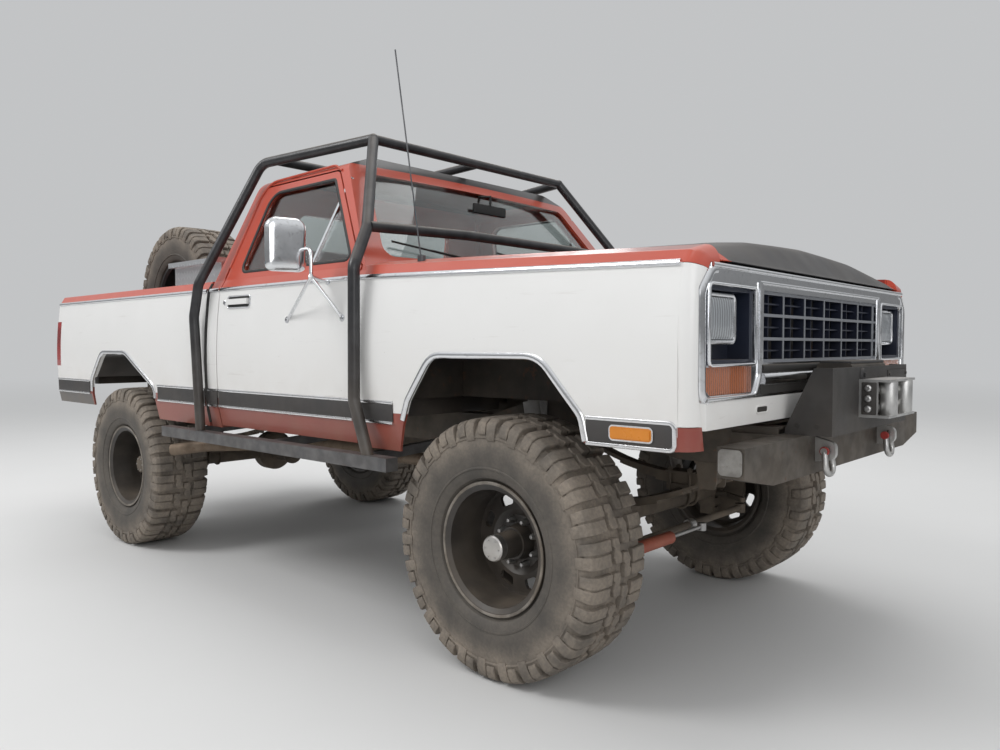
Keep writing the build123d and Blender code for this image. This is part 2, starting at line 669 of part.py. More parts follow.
DOOR_OUTLINE = [
    (DOOR_FRONT_X, DOOR_LOW_Z), (DOOR_FRONT_X, SHOULDER_Z),
    (DOOR_FRONT_X - SCREEN_STEP, SHOULDER_Z + 14),
    (slanted_x(DOOR_FRONT_X - SCREEN_STEP, DOOR_TOP_Z), DOOR_TOP_Z, 40),
    (ROOF_REAR_X + 50, DOOR_TOP_Z, 60), (DOOR_REAR_X, SHOULDER_Z), (DOOR_REAR_X, DOOR_LOW_Z),
]
DOOR_WINDOW = [
    (DOOR_FRONT_X - 84, SHOULDER_Z + 32, 20),
    (slanted_x(DOOR_FRONT_X - 66, DOOR_TOP_Z - 38), DOOR_TOP_Z - 38, 30),
    (ROOF_REAR_X + 140, DOOR_TOP_Z - 38, 90), (DOOR_REAR_X + 118, SHOULDER_Z + 32, 40),
]
SCREEN_FOOT_HALF = SHOULDER_HALF - 116
SCREEN_HEAD_HALF = ROOF_EDGE_HALF - 78
SCREEN_OUTLINE = [
    (-SCREEN_FOOT_HALF, 1548, 40), (SCREEN_FOOT_HALF, 1548, 40),
    (SCREEN_HEAD_HALF, 1950, 50), (-SCREEN_HEAD_HALF, 1950, 50),
]
REAR_LIGHT_OUTLINE = [(-590, 1562, 50), (590, 1562, 50), (545, 1868, 50), (-545, 1868, 50)]


def grown(corners, amount):
    """The outline's face offset outward by amount, or inward if it is negative."""
    face = outline(corners)
    return offset(face, amount=amount, kind=Kind.INTERSECTION) if amount else face


def carried_y(face, y0, y1):
    plane = Plane(origin=(0, y0, 0), x_dir=(1, 0, 0), z_dir=(0, -1, 0))
    return extrude(plane * face, amount=y1 - y0, dir=(0, 1, 0))


def carried_x(face, x0, x1):
    plane = Plane(origin=(x0, 0, 0), x_dir=(0, 1, 0), z_dir=(1, 0, 0))
    return extrude(plane * face, amount=x1 - x0, dir=(1, 0, 0))


def greenhouse(inset=0):
    """Upper cab filled solid: curved leaning screen, tumblehome sides, rounded roof."""
    low = CAB_LOW_Z
    lean = math.hypot(1, SCREEN_SLANT)
    centre = SCREEN_CENTRE_X - inset * lean + SCREEN_SLANT * (low - SHOULDER_Z)
    corner = SCREEN_CORNER_X - inset * lean + SCREEN_SLANT * (low - SHOULDER_Z)
    wide = SHOULDER_HALF + 60
    back = CAB_BACK_X - 200
    edges = [ThreePointArc((corner, -wide), (centre, 0), (corner, wide)), Line((corner, wide), (back, wide)),
             Line((back, wide), (back, -wide)), Line((back, -wide), (corner, -wide))]
    height = ROOF_Z + 80 - low
    plan = Plane.XY.offset(low) * make_face(edges)
    screen = extrude(plan, amount=height * lean, dir=(SCREEN_SLANT / lean, 0, 1 / lean))
    fall = (SHOULDER_HALF - ROOF_EDGE_HALF) / (ROOF_EDGE_Z - SHOULDER_Z)
    foot = SHOULDER_HALF + fall * (SHOULDER_Z - low) - inset
    edge = ROOF_EDGE_HALF - inset
    half = [(foot, low), (edge, ROOF_EDGE_Z - inset / 2, 60), (edge - 150, ROOF_Z - 10 - inset, 200)]
    section = half + [(0, ROOF_Z + 6 - inset, 2000)] + [(-y, z, *r) for y, z, *r in reversed(half)]
    body = prism_x(section, CAB_BACK_X - 100, COWL_X)
    rear = CAB_BACK_X + inset
    profile = [(rear, low), (rear, SHOULDER_Z), (ROOF_REAR_X - 12 + inset, ROOF_EDGE_Z - 20, 90),
               (ROOF_REAR_X + 120 + inset, ROOF_Z + 8 - inset, 160), (ROOF_FRONT_X - 60, ROOF_Z + 8 - inset, 160),
               (ROOF_FRONT_X + 130 - inset, ROOF_Z - 44 - inset), (COWL_X + 200, ROOF_Z - 90 - inset),
               (COWL_X + 200, low)]
    return body & screen & prism_y(profile, -SHOULDER_HALF - 100, SHOULDER_HALF + 100)


glass_house = greenhouse(14) - greenhouse(14 + GLASS)
upper_shell = greenhouse() - greenhouse(PILLAR)


def side_slab(thickness):
    """The left side wall of the greenhouse alone, thickness deep along Y."""
    return greenhouse() - Pos(0, -thickness, 0) * greenhouse()


def cab_shell():
    inner_half = BELT_HALF - DOOR_THICK
    jamb_half = inner_half - DOOR_CLEARANCE
    floor = block(CAB_BACK_X, COWL_X - 60, -inner_half, inner_half, FLOOR_Z - FLOOR_THICK, FLOOR_Z)
    toe = block(COWL_X - 90, COWL_X - 60, -inner_half, inner_half, FLOOR_Z - FLOOR_THICK, 1440)
    tunnel = prism_x([(-TUNNEL_HALF - 30, FLOOR_Z - FLOOR_THICK), (TUNNEL_HALF + 30, FLOOR_Z - FLOOR_THICK),
                      (TUNNEL_HALF, TUNNEL_Z, 50), (-TUNNEL_HALF, TUNNEL_Z, 50)], TUNNEL_BACK_X, COWL_X - 60)
    tunnel_room = prism_x([(-TUNNEL_HALF - 14, FLOOR_Z - FLOOR_THICK - 10), (TUNNEL_HALF + 14, FLOOR_Z - FLOOR_THICK - 10),
                           (TUNNEL_HALF - 12, TUNNEL_Z - 12, 40), (12 - TUNNEL_HALF, TUNNEL_Z - 12, 40)],
                          TUNNEL_BACK_X + 12, COWL_X)
    cowl = prism_y([(COWL_X - PANEL_GAP, 1430), (COWL_X - PANEL_GAP, 1486), (SCREEN_CENTRE_X, SHOULDER_Z + 4),
                    (SCREEN_CORNER_X - 20, SHOULDER_Z + 4), (SCREEN_CORNER_X - 20, 1430)], -HOOD_HALF, HOOD_HALF)
    back = block(CAB_BACK_X, CAB_BACK_X + 32, -inner_half, inner_half, FLOOR_Z, SHOULDER_Z)
    parts = [floor, toe, tunnel, cowl, back]
    front_post = block(DOOR_FRONT_X + PANEL_GAP, COWL_X - 60, HOOD_HALF - 30, inner_half, SILL_Z + 10, CAB_LOW_Z)
    sill = block(CAB_BACK_X, DOOR_FRONT_X + PANEL_GAP, inner_half - 60, jamb_half, SILL_Z + 14, FLOOR_Z + 12)
    quarter = side_solid(CAB_BACK_X, DOOR_REAR_X - PANEL_GAP, inner_half - 10)
    dash_post = block(SCREEN_CORNER_X - 90, SCREEN_CORNER_X - 20, HOOD_HALF - 30, inner_half - 14, 1400,
                      SHOULDER_Z + 4)
    parts += both(front_post) + both(sill) + both(quarter) + both(dash_post)
    shell = upper_shell
    opening = carried_y(grown(DOOR_OUTLINE, PANEL_GAP), 600, BODY_HALF + 30)
    frame_room = Pos(-DOOR_SWING_GAP, 0, 0) * opening
    frame_room &= block(-3000, 0, 600, BODY_HALF + 30, SHOULDER_Z + 10, ROOF_Z)
    opening = fuse([opening, frame_room])
    doorway = side_slab(PILLAR + PANEL_GAP) & opening
    shell -= doorway
    shell -= flipped(doorway)
    shell -= prism_x(SCREEN_OUTLINE, SCREEN_CENTRE_X - 520, COWL_X)
    shell -= prism_x(REAR_LIGHT_OUTLINE, CAB_BACK_X - 20, ROOF_REAR_X + 100)
    body = fuse([shell] + parts)
    door_room = opening & block(CAB_BACK_X, 0, jamb_half, BODY_HALF + 30, 0, ROOF_Z)
    return body - door_room - flipped(door_room) - tunnel_room


def door():
    """Left door: skin with its section, leaning window frame, window cut through."""
    lower = side_solid(DOOR_REAR_X, DOOR_FRONT_X, BELT_HALF - DOOR_THICK)
    lower &= prism_y(DOOR_OUTLINE, 800, BODY_HALF + 20)
    frame = side_slab(PILLAR) & prism_y(DOOR_OUTLINE, 600, BODY_HALF + 20)
    body = fuse([lower, frame]) - prism_y(DOOR_WINDOW, 500, BODY_HALF + 20)
    handle = block(DOOR_REAR_X + 98, DOOR_REAR_X + 280, BELT_HALF + 1, BELT_HALF + 26, 1372, 1398)
    return fuse([body, handle])


def mirror_head():
    """Left mirror: rounded shell on a bent bracket from the door skin."""
    x, y = -930, BODY_HALF + 144
    skin_y = BODY_HALF - 6
    shell = prism_x([(y - 98, 1478, 34), (y + 98, 1478, 34), (y + 98, 1698, 60), (y - 98, 1698, 60)], x - 30, x + 42)
    joint = (-851, BODY_HALF + 102, 1452)
    arm = tube([joint, (x + 10, y, 1462), (x + 10, y, 1490)], 8, 10)
    feet = [(-1187, skin_y, 1288), (-788, skin_y, 1287), (-905, skin_y - 16, 1440)]
    braces = [rod(joint, foot, 7) for foot in feet]
    pads = [rod((fx, fy - 2, fz), (fx, fy + 5, fz), 16) for fx, fy, fz in feet]
    return fuse([shell, arm] + braces + pads)


post_room = block(DOOR_FRONT_X - 5, COWL_X - 55, HOOD_HALF - 5, BELT_HALF - DOOR_THICK + 4, SILL_Z, CAB_LOW_Z + 6)
fender_left = (fender() - greenhouse(-4) - post_room).solids().sort_by(SortBy.VOLUME)[-1]
fender_right = flipped(fender_left)
place("fender_left", fender_left)
place("fender_right", fender_right)
place("cab_shell", cab_shell())
door_left = door()
place("door_panel_left", door_left)
place("door_panel_right", flipped(door_left))
door_light = glass_house & carried_y(grown(DOOR_WINDOW, -FIT_GAP), 500, BODY_HALF + 20)
place("door_glass_left", door_light)
place("door_glass_right", flipped(door_light))
mirror_left = mirror_head() - door_left
place("mirror_left", mirror_left)
place("mirror_right", flipped(mirror_left))
windscreen = glass_house & carried_x(grown(SCREEN_OUTLINE, -FIT_GAP), SCREEN_CENTRE_X - 520, COWL_X)
rear_light = glass_house & carried_x(grown(REAR_LIGHT_OUTLINE, -FIT_GAP), CAB_BACK_X - 20, ROOF_REAR_X + 100)
place("cab_glass", windscreen, rear_light)

# Cab interior

DASH_X = (-930, -655)
SEAT_X = (-1790, -1240)


def dashboard():
    profile = [(DASH_X[1], 1190), (DASH_X[1], 1428), (DASH_X[0] + 60, 1428, 30), (DASH_X[0], 1380, 30),
               (DASH_X[0] + 70, 1190, 20)]
    return prism_y(profile, -HOOD_HALF + 34, HOOD_HALF - 34)


def bench_seat():
    base = block(SEAT_X[0] + 60, SEAT_X[1] - 60, -560, 560, FLOOR_Z, FLOOR_Z + 130)
    cushion = prism_y([(SEAT_X[0] + 40, FLOOR_Z + 130), (SEAT_X[1], FLOOR_Z + 130, 30),
                       (SEAT_X[1], FLOOR_Z + 300, 60), (SEAT_X[0] + 40, FLOOR_Z + 270)], -640, 640)
    back = prism_y([(SEAT_X[0], FLOOR_Z + 180), (SEAT_X[0] + 180, FLOOR_Z + 180),
                    (SEAT_X[0] + 90, FLOOR_Z + 780, 40), (SEAT_X[0], FLOOR_Z + 780, 40)], -640, 640)
    return fuse([base, cushion, back])


def steering_wheel():
    centre = Vector(-1060, 370, 1400)
    axis = Vector(-0.87, 0, 0.5)
    plane = Plane(origin=centre, z_dir=axis)
    rim_ring = plane * Torus(190, 13)
    hub = rod(centre - axis * 60, centre - axis * 20, 44)
    parts = [rim_ring, hub]
    for angle in (0, 120, 240):
        spoke_end = plane.from_local_coords(Vector(186 * math.cos(math.radians(angle)),
                                                   186 * math.sin(math.radians(angle)), 0))
        parts.append(rod(centre - axis * 36, spoke_end, 10))
    parts.append(rod(centre - axis * 50, centre - axis * 175, 30))
    return fuse(parts)


dash = dashboard()
place("dashboard", dash)
place("bench_seat", bench_seat())
place("steering_wheel", steering_wheel() - dash)

# Bed, tailgate and lamps

ARCH_WALL = 12
BED_SILLS = (-2080, -3600)
WHEELHOUSE_HALF = 648
TAIL_LAMP_Z = (1043, 1333)
TAIL_LAMP_DEPTH = 58
TAIL_LAMP_HALF = BODY_HALF - 112
TAIL_POST_X = BED_TAIL_X + TAILGATE_THICK


def bed_side():
    """Left bed wall, hollow under the floor, with its wheel arch."""
    inner = BELT_HALF - BED_WALL
    wall = side_solid(BED_TAIL_X, BED_FRONT_X, inner)
    under = side_solid(BED_TAIL_X - 5, BED_FRONT_X - SKIN, inner - 5, SKIN, SILL_Z - 10)
    wall -= under & block(BED_TAIL_X - 10, BED_FRONT_X + 10, 0, 1100, SILL_Z - 20, BED_FLOOR_Z - BED_FLOOR_THICK)
    wall -= block(BED_TAIL_X - 10, -3300, inner - 20, BODY_HALF + 10, SILL_Z - 10, BED_LOW_Z)
    post = block(BED_TAIL_X, TAIL_POST_X, TAILGATE_HALF + PANEL_GAP, inner + 5, TAILGATE_LOW_Z, SHOULDER_Z)
    wall = fuse([wall, post])
    wall -= prism_y(REAR_ARCH, inner - 20, BODY_HALF + 10)
    lamp_room = block(BED_TAIL_X - 10, BED_TAIL_X + TAIL_LAMP_DEPTH, TAIL_LAMP_HALF, BODY_HALF + 20, *TAIL_LAMP_Z)
    return wall - lamp_room


def bed():
    """Bed floor on its sills, front wall and the two wheel houses."""
    edge = BELT_HALF - BED_WALL - FIT_GAP
    floor = block(TAIL_POST_X + 10, BED_FRONT_X, -edge, edge, BED_FLOOR_Z - BED_FLOOR_THICK, BED_FLOOR_Z)
    front = block(BED_FRONT_X - 30, BED_FRONT_X, -edge, edge, BED_FLOOR_Z - BED_FLOOR_THICK, SHOULDER_Z - 20)
    house = carried_y(grown(REAR_ARCH, ARCH_WALL), WHEELHOUSE_HALF, edge)
    house -= block(BED_TAIL_X, BED_FRONT_X, 0, BODY_HALF, 0, BED_FLOOR_Z - BED_FLOOR_THICK)
    cavity = prism_y(REAR_ARCH, WHEELHOUSE_HALF + ARCH_WALL, BODY_HALF)
    sills = [block(x - 30, x + 30, -edge, edge, rail_top(x), BED_FLOOR_Z - BED_FLOOR_THICK)
             for x in BED_SILLS]
    return fuse([floor, front] + sills + both(house)) - cavity - flipped(cavity)


def tail_lamp():
    lamp = side_solid(BED_TAIL_X - 8, BED_TAIL_X + TAIL_LAMP_DEPTH - FIT_GAP, TAIL_LAMP_HALF + FIT_GAP)
    return lamp & block(BED_TAIL_X - 8, BED_TAIL_X + TAIL_LAMP_DEPTH, 800, 1100,
                        TAIL_LAMP_Z[0] + FIT_GAP, TAIL_LAMP_Z[1] - FIT_GAP)


def tailgate():
    gate = prism_y([(BED_TAIL_X, TAILGATE_LOW_Z, 10), (TAIL_POST_X, TAILGATE_LOW_Z, 10),
                    (TAIL_POST_X, SHOULDER_Z, 16), (BED_TAIL_X, SHOULDER_Z, 16)],
                   -TAILGATE_HALF, TAILGATE_HALF)
    panel = block(BED_TAIL_X - 1, BED_TAIL_X + 8, -640, 640, TAILGATE_LOW_Z + 110, SHOULDER_Z - 130)
    return gate - panel


bed_side_left = bed_side()
place("bed", bed())
place("bed_side_left", bed_side_left)
place("bed_side_right", flipped(bed_side_left))
place("tail_lamps", *both(tail_lamp()))
place("tailgate_panel", tailgate())

# Front: surround, grille, lamps, valance, radiator

GRILLE_HALF = 553
GRILLE_Z = (1120, 1349)
TURN_Z = (1030, 1112)
SURROUND_BACK_X = FENDER_FRONT_X
SURROUND_HALF = BODY_HALF - 34
LAMP_Y = (GRILLE_HALF + 62, SURROUND_HALF - 57)
TURN_Y = (GRILLE_HALF + 87, SURROUND_HALF - 42)
FACE_HALF = SURROUND_HALF - 72
GRILLE_X = 768
GRILLE_COLUMNS = 6
GRILLE_ROWS = 3
BAR = 10
THIN_BAR = 5


def front_surround():
    plate = prism_x([(-SURROUND_HALF, 1014, 20), (SURROUND_HALF, 1014, 20), (SURROUND_HALF, 1336, 20),
                     (SURROUND_HALF - 70, SURROUND_TOP_Z, 30), (70 - SURROUND_HALF, SURROUND_TOP_Z, 30),
                     (-SURROUND_HALF, 1336, 20)], SURROUND_BACK_X, NOSE_X)
    plan = prism_z([(SURROUND_BACK_X - 1, -SURROUND_HALF), (NOSE_X - 46, -SURROUND_HALF), (NOSE_X, -FACE_HALF, 40),
                    (NOSE_X, FACE_HALF, 40), (NOSE_X - 46, SURROUND_HALF),
                    (SURROUND_BACK_X - 1, SURROUND_HALF)], 1000, 1430)
    plate &= plan
    grille_hole = block(SURROUND_BACK_X - 5, NOSE_X + 5, -GRILLE_HALF, GRILLE_HALF, *GRILLE_Z)
    lamp_hole = block(SURROUND_BACK_X - 5, NOSE_X + 5, *LAMP_Y, *GRILLE_Z)
    turn_hole = block(SURROUND_BACK_X - 5, NOSE_X + 5, *TURN_Y, *TURN_Z)
    plate -= grille_hole
    for hole in (lamp_hole, turn_hole):
        plate -= hole
        plate -= flipped(hole)
    return plate


def grille():
    width = 2 * (GRILLE_HALF - FIT_GAP)
    height = GRILLE_Z[1] - GRILLE_Z[0] - 2 * FIT_GAP
    low = GRILLE_Z[0] + FIT_GAP
    x0, x1 = GRILLE_X - 20, GRILLE_X + 20
    frame = block(x0, x1, -width / 2, width / 2, low, low + height)
    frame -= block(x0 - 1, x1 + 1, BAR - width / 2, width / 2 - BAR, low + BAR, low + height - BAR)
    parts = [frame]
    for count, bar, front in ((GRILLE_COLUMNS, BAR, x1), (2 * GRILLE_COLUMNS, THIN_BAR, x1 - 14)):
        for i in range(1, count):
            y = -width / 2 + i * width / count
            parts.append(block(x0, front, y - bar / 2, y + bar / 2, low + 1, low + height - 1))
    for count, bar, front in ((GRILLE_ROWS, BAR, x1), (2 * GRILLE_ROWS, THIN_BAR, x1 - 14)):
        for i in range(1, count):
            z = low + i * height / count
            parts.append(block(x0, front, 1 - width / 2, width / 2 - 1, z - bar / 2, z + bar / 2))
    return fuse(parts)


def lamp_bucket():
    """Left headlamp: recessed bucket with its rectangular lens."""
    y0, y1 = LAMP_Y[0] + FIT_GAP, LAMP_Y[1] - FIT_GAP
    z0, z1 = GRILLE_Z[0] + FIT_GAP, GRILLE_Z[1] - FIT_GAP
    case = block(SURROUND_BACK_X - 50, NOSE_X - 14, y0, y1, z0, z1)
    case -= block(SURROUND_BACK_X - 38, NOSE_X, y0 + 12, y1 - 12, z0 + 12, z1 - 12)
    inner, outer = LAMP_Y[0] + 75, LAMP_Y[1] - 25
    lens = prism_x([(inner, 1184, 18), (outer, 1184, 18), (outer, 1326, 18), (inner, 1326, 18)],
                   SURROUND_BACK_X - 39, SURROUND_BACK_X + 8)
    return fuse([case, lens])


def turn_lamp():
    y0, y1 = TURN_Y[0] + FIT_GAP, TURN_Y[1] - FIT_GAP
    return block(SURROUND_BACK_X - 20, NOSE_X - 12, y0, y1, TURN_Z[0] + FIT_GAP, TURN_Z[1] - FIT_GAP)


def valance():
    half = SURROUND_HALF + 13
    upper = prism_x([(-half, 932), (half, 932), (half, 1012), (-half, 1012)], SURROUND_BACK_X, 800)
    upper &= prism_z([(700, -half), (NOSE_X - 40, -half, 30), (NOSE_X + 20, -FACE_HALF, 60),
                      (NOSE_X + 20, FACE_HALF, 60), (NOSE_X - 40, half, 30), (700, half)], 900, 1030)
    core = block(700, SURROUND_BACK_X + 40, -FACE_HALF, FACE_HALF, 950, 1000)
    return fuse([upper, core])


def radiator():
    core = block(640, 690, -330, 330, 960, 1370)
    bar = block(650, 700, -560, 560, 1372, 1392)
    posts = [block(650, 700, s * 520, s * 560, 905, 1380) for s in (1, -1)]
    low = block(650, 700, -560, 560, 905, 966)
    return fuse([core, bar, low] + posts)


place("front_surround", front_surround())
place("grille", grille())
place("headlamps", *both(lamp_bucket()))
place("turn_lamps", *both(turn_lamp()))
place("valance", valance())
place("radiator", radiator())

# Bumper, winch box, winch, fairlead and shackles

WINCH_HALF = 400
WINCH_FRONT_X = 963
PLATE = 8


def front_bumper():
    outline_yz = [(-BUMPER_HALF, 792), (-BUMPER_HALF + 200, 752), (BUMPER_HALF - 200, 752), (BUMPER_HALF, 792),
                  (BUMPER_HALF, 882), (-BUMPER_HALF, 882)]
    beam = prism_x(outline_yz, BUMPER_BACK_X, BUMPER_FRONT_X)
    horns = [block(640, BUMPER_BACK_X + 1, s * (RAIL_HALF + 0.5), s * (RAIL_HALF + 10.5), 790, 880) for s in (1, -1)]
    return fuse([beam] + horns)


def winch_box():
    front = block(WINCH_FRONT_X - PLATE, WINCH_FRONT_X, -WINCH_HALF, WINCH_HALF, 897, 1102)
    side_plate = [(WINCH_FRONT_X, 897), (WINCH_FRONT_X, 1102), (WINCH_FRONT_X - 60, 1102), (BUMPER_BACK_X + 10, 900),
                  (BUMPER_BACK_X + 10, 882), (WINCH_FRONT_X - 20, 882)]
    sides = both(prism_y(side_plate, WINCH_HALF - PLATE, WINCH_HALF))
    deck = block(BUMPER_BACK_X + 20, WINCH_FRONT_X, -WINCH_HALF, WINCH_HALF, 882, 897)
    return fuse([front, deck] + sides)


def winch():
    ends = [block(850, 945, s * 150, s * 250, 897, 1030) for s in (1, -1)]
    drum = rod((897, -152, 965), (897, 152, 965), 34)
    motor = rod((897, 248, 965), (897, 380, 965), 52)
    control = prism_y([(830, 1030, 10), (950, 1030, 10), (950, 1115, 16), (830, 1115, 16)], -180, 180)
    bridge = block(855, 940, -252, 252, 1012, 1032)
    return fuse([drum, motor, control, bridge] + ends)


def fairlead():
    """Roller fairlead: frame plates, two standing rollers and two lying rollers."""
    x0 = WINCH_FRONT_X
    reach = FAIRLEAD_REACH
    parts = []
    for side in (1, -1):
        parts.append(block(x0, x0 + 8, side * 110, side * 150, 930, 1060))
        parts.append(rod((reach - 28, side * 86, 934), (reach - 28, side * 86, 1056), 28))
    for z in (930, 1052):
        parts.append(block(x0, reach - 8, -150, 150, z, z + 8))
    for z in (962, 1028):
        parts.append(rod((x0 + 34, -146, z), (x0 + 34, 146, z), 22))
        parts += [block(x0, x0 + 60, s * 142, s * 150, 930, 1060) for s in (1, -1)]
    return fuse(parts)


def shackle():
    """Left tab on the bumper face with its bow shackle hanging."""
    tab = prism_y([(BUMPER_FRONT_X, 790), (BUMPER_FRONT_X + 66, 800, 24), (BUMPER_FRONT_X + 66, 856, 24),
                   (BUMPER_FRONT_X, 872)], 310, 332)
    tab -= rod((BUMPER_FRONT_X + 36, 300, 828), (BUMPER_FRONT_X + 36, 340, 828), 13)
    pin = rod((BUMPER_FRONT_X + 36, 286, 828), (BUMPER_FRONT_X + 36, 356, 828), 11)
    bow = tube([(BUMPER_FRONT_X + 36, 296, 828), (BUMPER_FRONT_X + 46, 282, 752), (BUMPER_FRONT_X + 46, 360, 752),
                (BUMPER_FRONT_X + 36, 346, 828)], 10, 30)
    return fuse([tab, pin, bow])


place("front_bumper", front_bumper())
place("winch_box", winch_box())
place("winch", winch())
place("fairlead", fairlead())
place("tow_shackles", *both(shackle()))

# Cage, sliders, antenna

LEG_HALF = BODY_HALF + CAGE_GAP + CAGE_RADIUS
SLIDER_LEGS = (-640, -1300, -2080)


def exo_cage():
    leg_top_half = 678
    front_leg = [(-560, LEG_HALF, SLIDER_TOP_Z - 30), (-655, LEG_HALF, 960), (-664, LEG_HALF - 10, 1490),
                 (-720, 925, 1660), (-983, leg_top_half, CAGE_TOP_Z)]
    side_bar = [(-983, leg_top_half, CAGE_TOP_Z), (-1697, 808, 2083), (-1905, LEG_HALF - 4, 1480),
                (-1948, LEG_HALF, 1318), (-1893, LEG_HALF, SLIDER_TOP_Z - 30)]
    parts = []
    for points, bend in ((front_leg, 60), (side_bar, 70)):
        side = tube(points, CAGE_RADIUS, bend)
        parts += both(side)
    parts.append(tube([(-983, -leg_top_half, CAGE_TOP_Z), (-983, leg_top_half, CAGE_TOP_Z)], CROSS_RADIUS, 0))
    parts.append(tube([(-1600, -790, 2086), (-1600, 790, 2086)], CROSS_RADIUS, 0))
    parts.append(tube([(-985, 0, CAGE_TOP_Z), (-1600, 0, 2086)], CROSS_RADIUS - 1, 0))
    screen_bar = [(-715, -915, 1662), (-640, -420, 1668), (-640, 420, 1668), (-715, 915, 1662)]
    parts.append(tube(screen_bar, CROSS_RADIUS, 200))
    parts += [Pos(-983, s * leg_top_half, CAGE_TOP_Z) * Sphere(CAGE_RADIUS + 1) for s in (1, -1)]
    return fuse(parts)


def slider():
    y0, y1 = LEG_HALF - SLIDER_WIDTH / 2, LEG_HALF + SLIDER_WIDTH / 2
    bar = block(-2261, -427, y0, y1, SLIDER_TOP_Z - SLIDER_DEPTH, SLIDER_TOP_Z)
    parts = [bar]
    knee = RAIL_HALF + 90
    leg = [(RAIL_HALF, 734), (knee, 734), (y0 + 4, 706), (y0 + 4, 746), (knee, 774), (RAIL_HALF, 774)]
    parts += [prism_x(leg, x - 20, x + 20) for x in SLIDER_LEGS]
    return fuse(parts)


cage = exo_cage()
slider_left = slider()
slider_right = flipped(slider_left)
place("sliders", slider_left, slider_right)
place("exo_cage", cage - slider_left - slider_right)
mast_base = Vector(-420, -900, 1492)
mast = fuse([rod(mast_base - Vector(0, 0, 30), mast_base + Vector(0, 0, 30), 16),
             rod(mast_base, mast_base + Vector(-150, 0, 850), 3)])
place("antenna", (mast - fender_right).solids().sort_by(Axis.Z)[-1])

# Spare wheel and tool box in the bed

SPARE_X = -3035
SPARE_Y = -480
BOX_X = (-2560, -2040)
BOX_LOW_Z = 1240
BOX_LID_Z = 1640


def tool_box():
    inner = BELT_HALF - BED_WALL - 40
    body = block(*BOX_X, -inner, inner, BOX_LOW_Z, BOX_LID_Z - 24)
    lid = block(BOX_X[0] - 12, BOX_X[1] + 12, -inner - 34, inner + 34, BOX_LID_Z - 28, BOX_LID_Z)
    flange = block(*BOX_X, -inner - 40, inner + 40, SHOULDER_Z, SHOULDER_Z + 8)
    return fuse([body, lid, flange])


spare_spot = Pos(SPARE_X, SPARE_Y, BED_FLOOR_Z + TYRE_RADIUS + FIT_GAP)
place("tyre_spare", spare_spot * tyre_shape)
place("wheel_spare", spare_spot * flipped(rim([(-60, 50), (-60, 66), (-DISC_INSET, 66), (-DISC_INSET, 50)])))
place("tool_box", tool_box())
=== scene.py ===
import json
import math

import bmesh
import bpy
from mathutils import Matrix, Vector


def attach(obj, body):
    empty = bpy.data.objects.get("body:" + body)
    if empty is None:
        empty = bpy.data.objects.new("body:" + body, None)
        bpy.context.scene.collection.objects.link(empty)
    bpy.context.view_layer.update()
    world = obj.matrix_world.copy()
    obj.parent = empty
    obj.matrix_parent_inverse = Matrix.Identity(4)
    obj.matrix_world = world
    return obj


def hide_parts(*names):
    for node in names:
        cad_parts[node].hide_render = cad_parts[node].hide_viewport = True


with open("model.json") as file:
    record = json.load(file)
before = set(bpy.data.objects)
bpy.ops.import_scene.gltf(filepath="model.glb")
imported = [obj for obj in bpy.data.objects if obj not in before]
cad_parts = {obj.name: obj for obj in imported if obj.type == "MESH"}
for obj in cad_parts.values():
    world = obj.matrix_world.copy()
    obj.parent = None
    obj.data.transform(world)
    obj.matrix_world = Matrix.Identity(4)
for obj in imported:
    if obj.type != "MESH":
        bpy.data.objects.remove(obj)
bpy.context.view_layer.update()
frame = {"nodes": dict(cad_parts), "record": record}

# Shapes are written in millimetres from the middle of the front axle, as in the part's source:
# +X forward, +Y left, +Z up, z = 0 on the floor. metres() takes a point to the frame.

SHIFT_X = 1432.5
WHEELBASE = 2921
TYRE_RADIUS = 463
AXLE_Z = TYRE_RADIUS
FRONT_TRACK = 1664
REAR_TRACK = 1720
DOOR_FRONT_X = -716
DOOR_REAR_X = -1795
CAB_BACK_X = -1896
BED_FRONT_X = -1922
BED_TAIL_X = -3925
FENDER_FRONT_X = 752
FACE_X = 800
SILL_Z = 768
BAND_LOW_Z = 875
BAND_TOP_Z = 957
BELT_Z = 1450
SHOULDER_Z = 1498
ROOF_EDGE_Z = 1988
SILL_HALF = 982
BAND_LOW_HALF = 1003
BAND_TOP_HALF = 1006
BELLY_HALF = 1008
BELT_HALF = 986
SHOULDER_HALF = 958
ROOF_EDGE_HALF = 782
LOW_SIDE = [(SILL_Z, SILL_HALF), (BAND_LOW_Z, BAND_LOW_HALF), (BAND_TOP_Z, BAND_TOP_HALF)]
TUMBLE = (SHOULDER_HALF - ROOF_EDGE_HALF) / (ROOF_EDGE_Z - SHOULDER_Z)
FRONT_ARCH = [(-470, 600), (-452, 780), (-378, 965, 60), (-250, 1133, 90), (250, 1133, 120),
              (412, 955, 60), (428, 880), (440, 600)]
REAR_ARCH = [(-3380, 600), (-3352, 960, 60), (-3190, 1128, 90), (-2860, 1128, 160), (-2500, 940, 60),
             (-2470, 600)]
DOOR_WINDOW = [(-800, 1530, 20), (-1094, 1922, 30), (-1605, 1922, 90), (-1677, 1530, 40)]
SIDES = (("left", 1), ("right", -1))
AHEAD = Vector((1, 0, 0))

scene = bpy.context.scene


def metres(point):
    x, y, z = point
    return Vector(((x + SHIFT_X) / 1000, y / 1000, z / 1000))


# Materials

ENAMEL = {
    # colour: darkest, lightest
    "white": ((0.74, 0.735, 0.72), (0.80, 0.795, 0.785)),
    "red": ((0.43, 0.052, 0.026), (0.50, 0.075, 0.040)),
    # The darker red is the red darkened: painted shade under the moulding, inside the body and on the bed
    # floor.
    "shaded_red": ((0.20, 0.018, 0.012), (0.27, 0.030, 0.018)),
    "black": ((0.018, 0.018, 0.020), (0.034, 0.034, 0.037)),
}
TAN_DUST = (0.34, 0.27, 0.20)
RUST = (0.085, 0.036, 0.018)


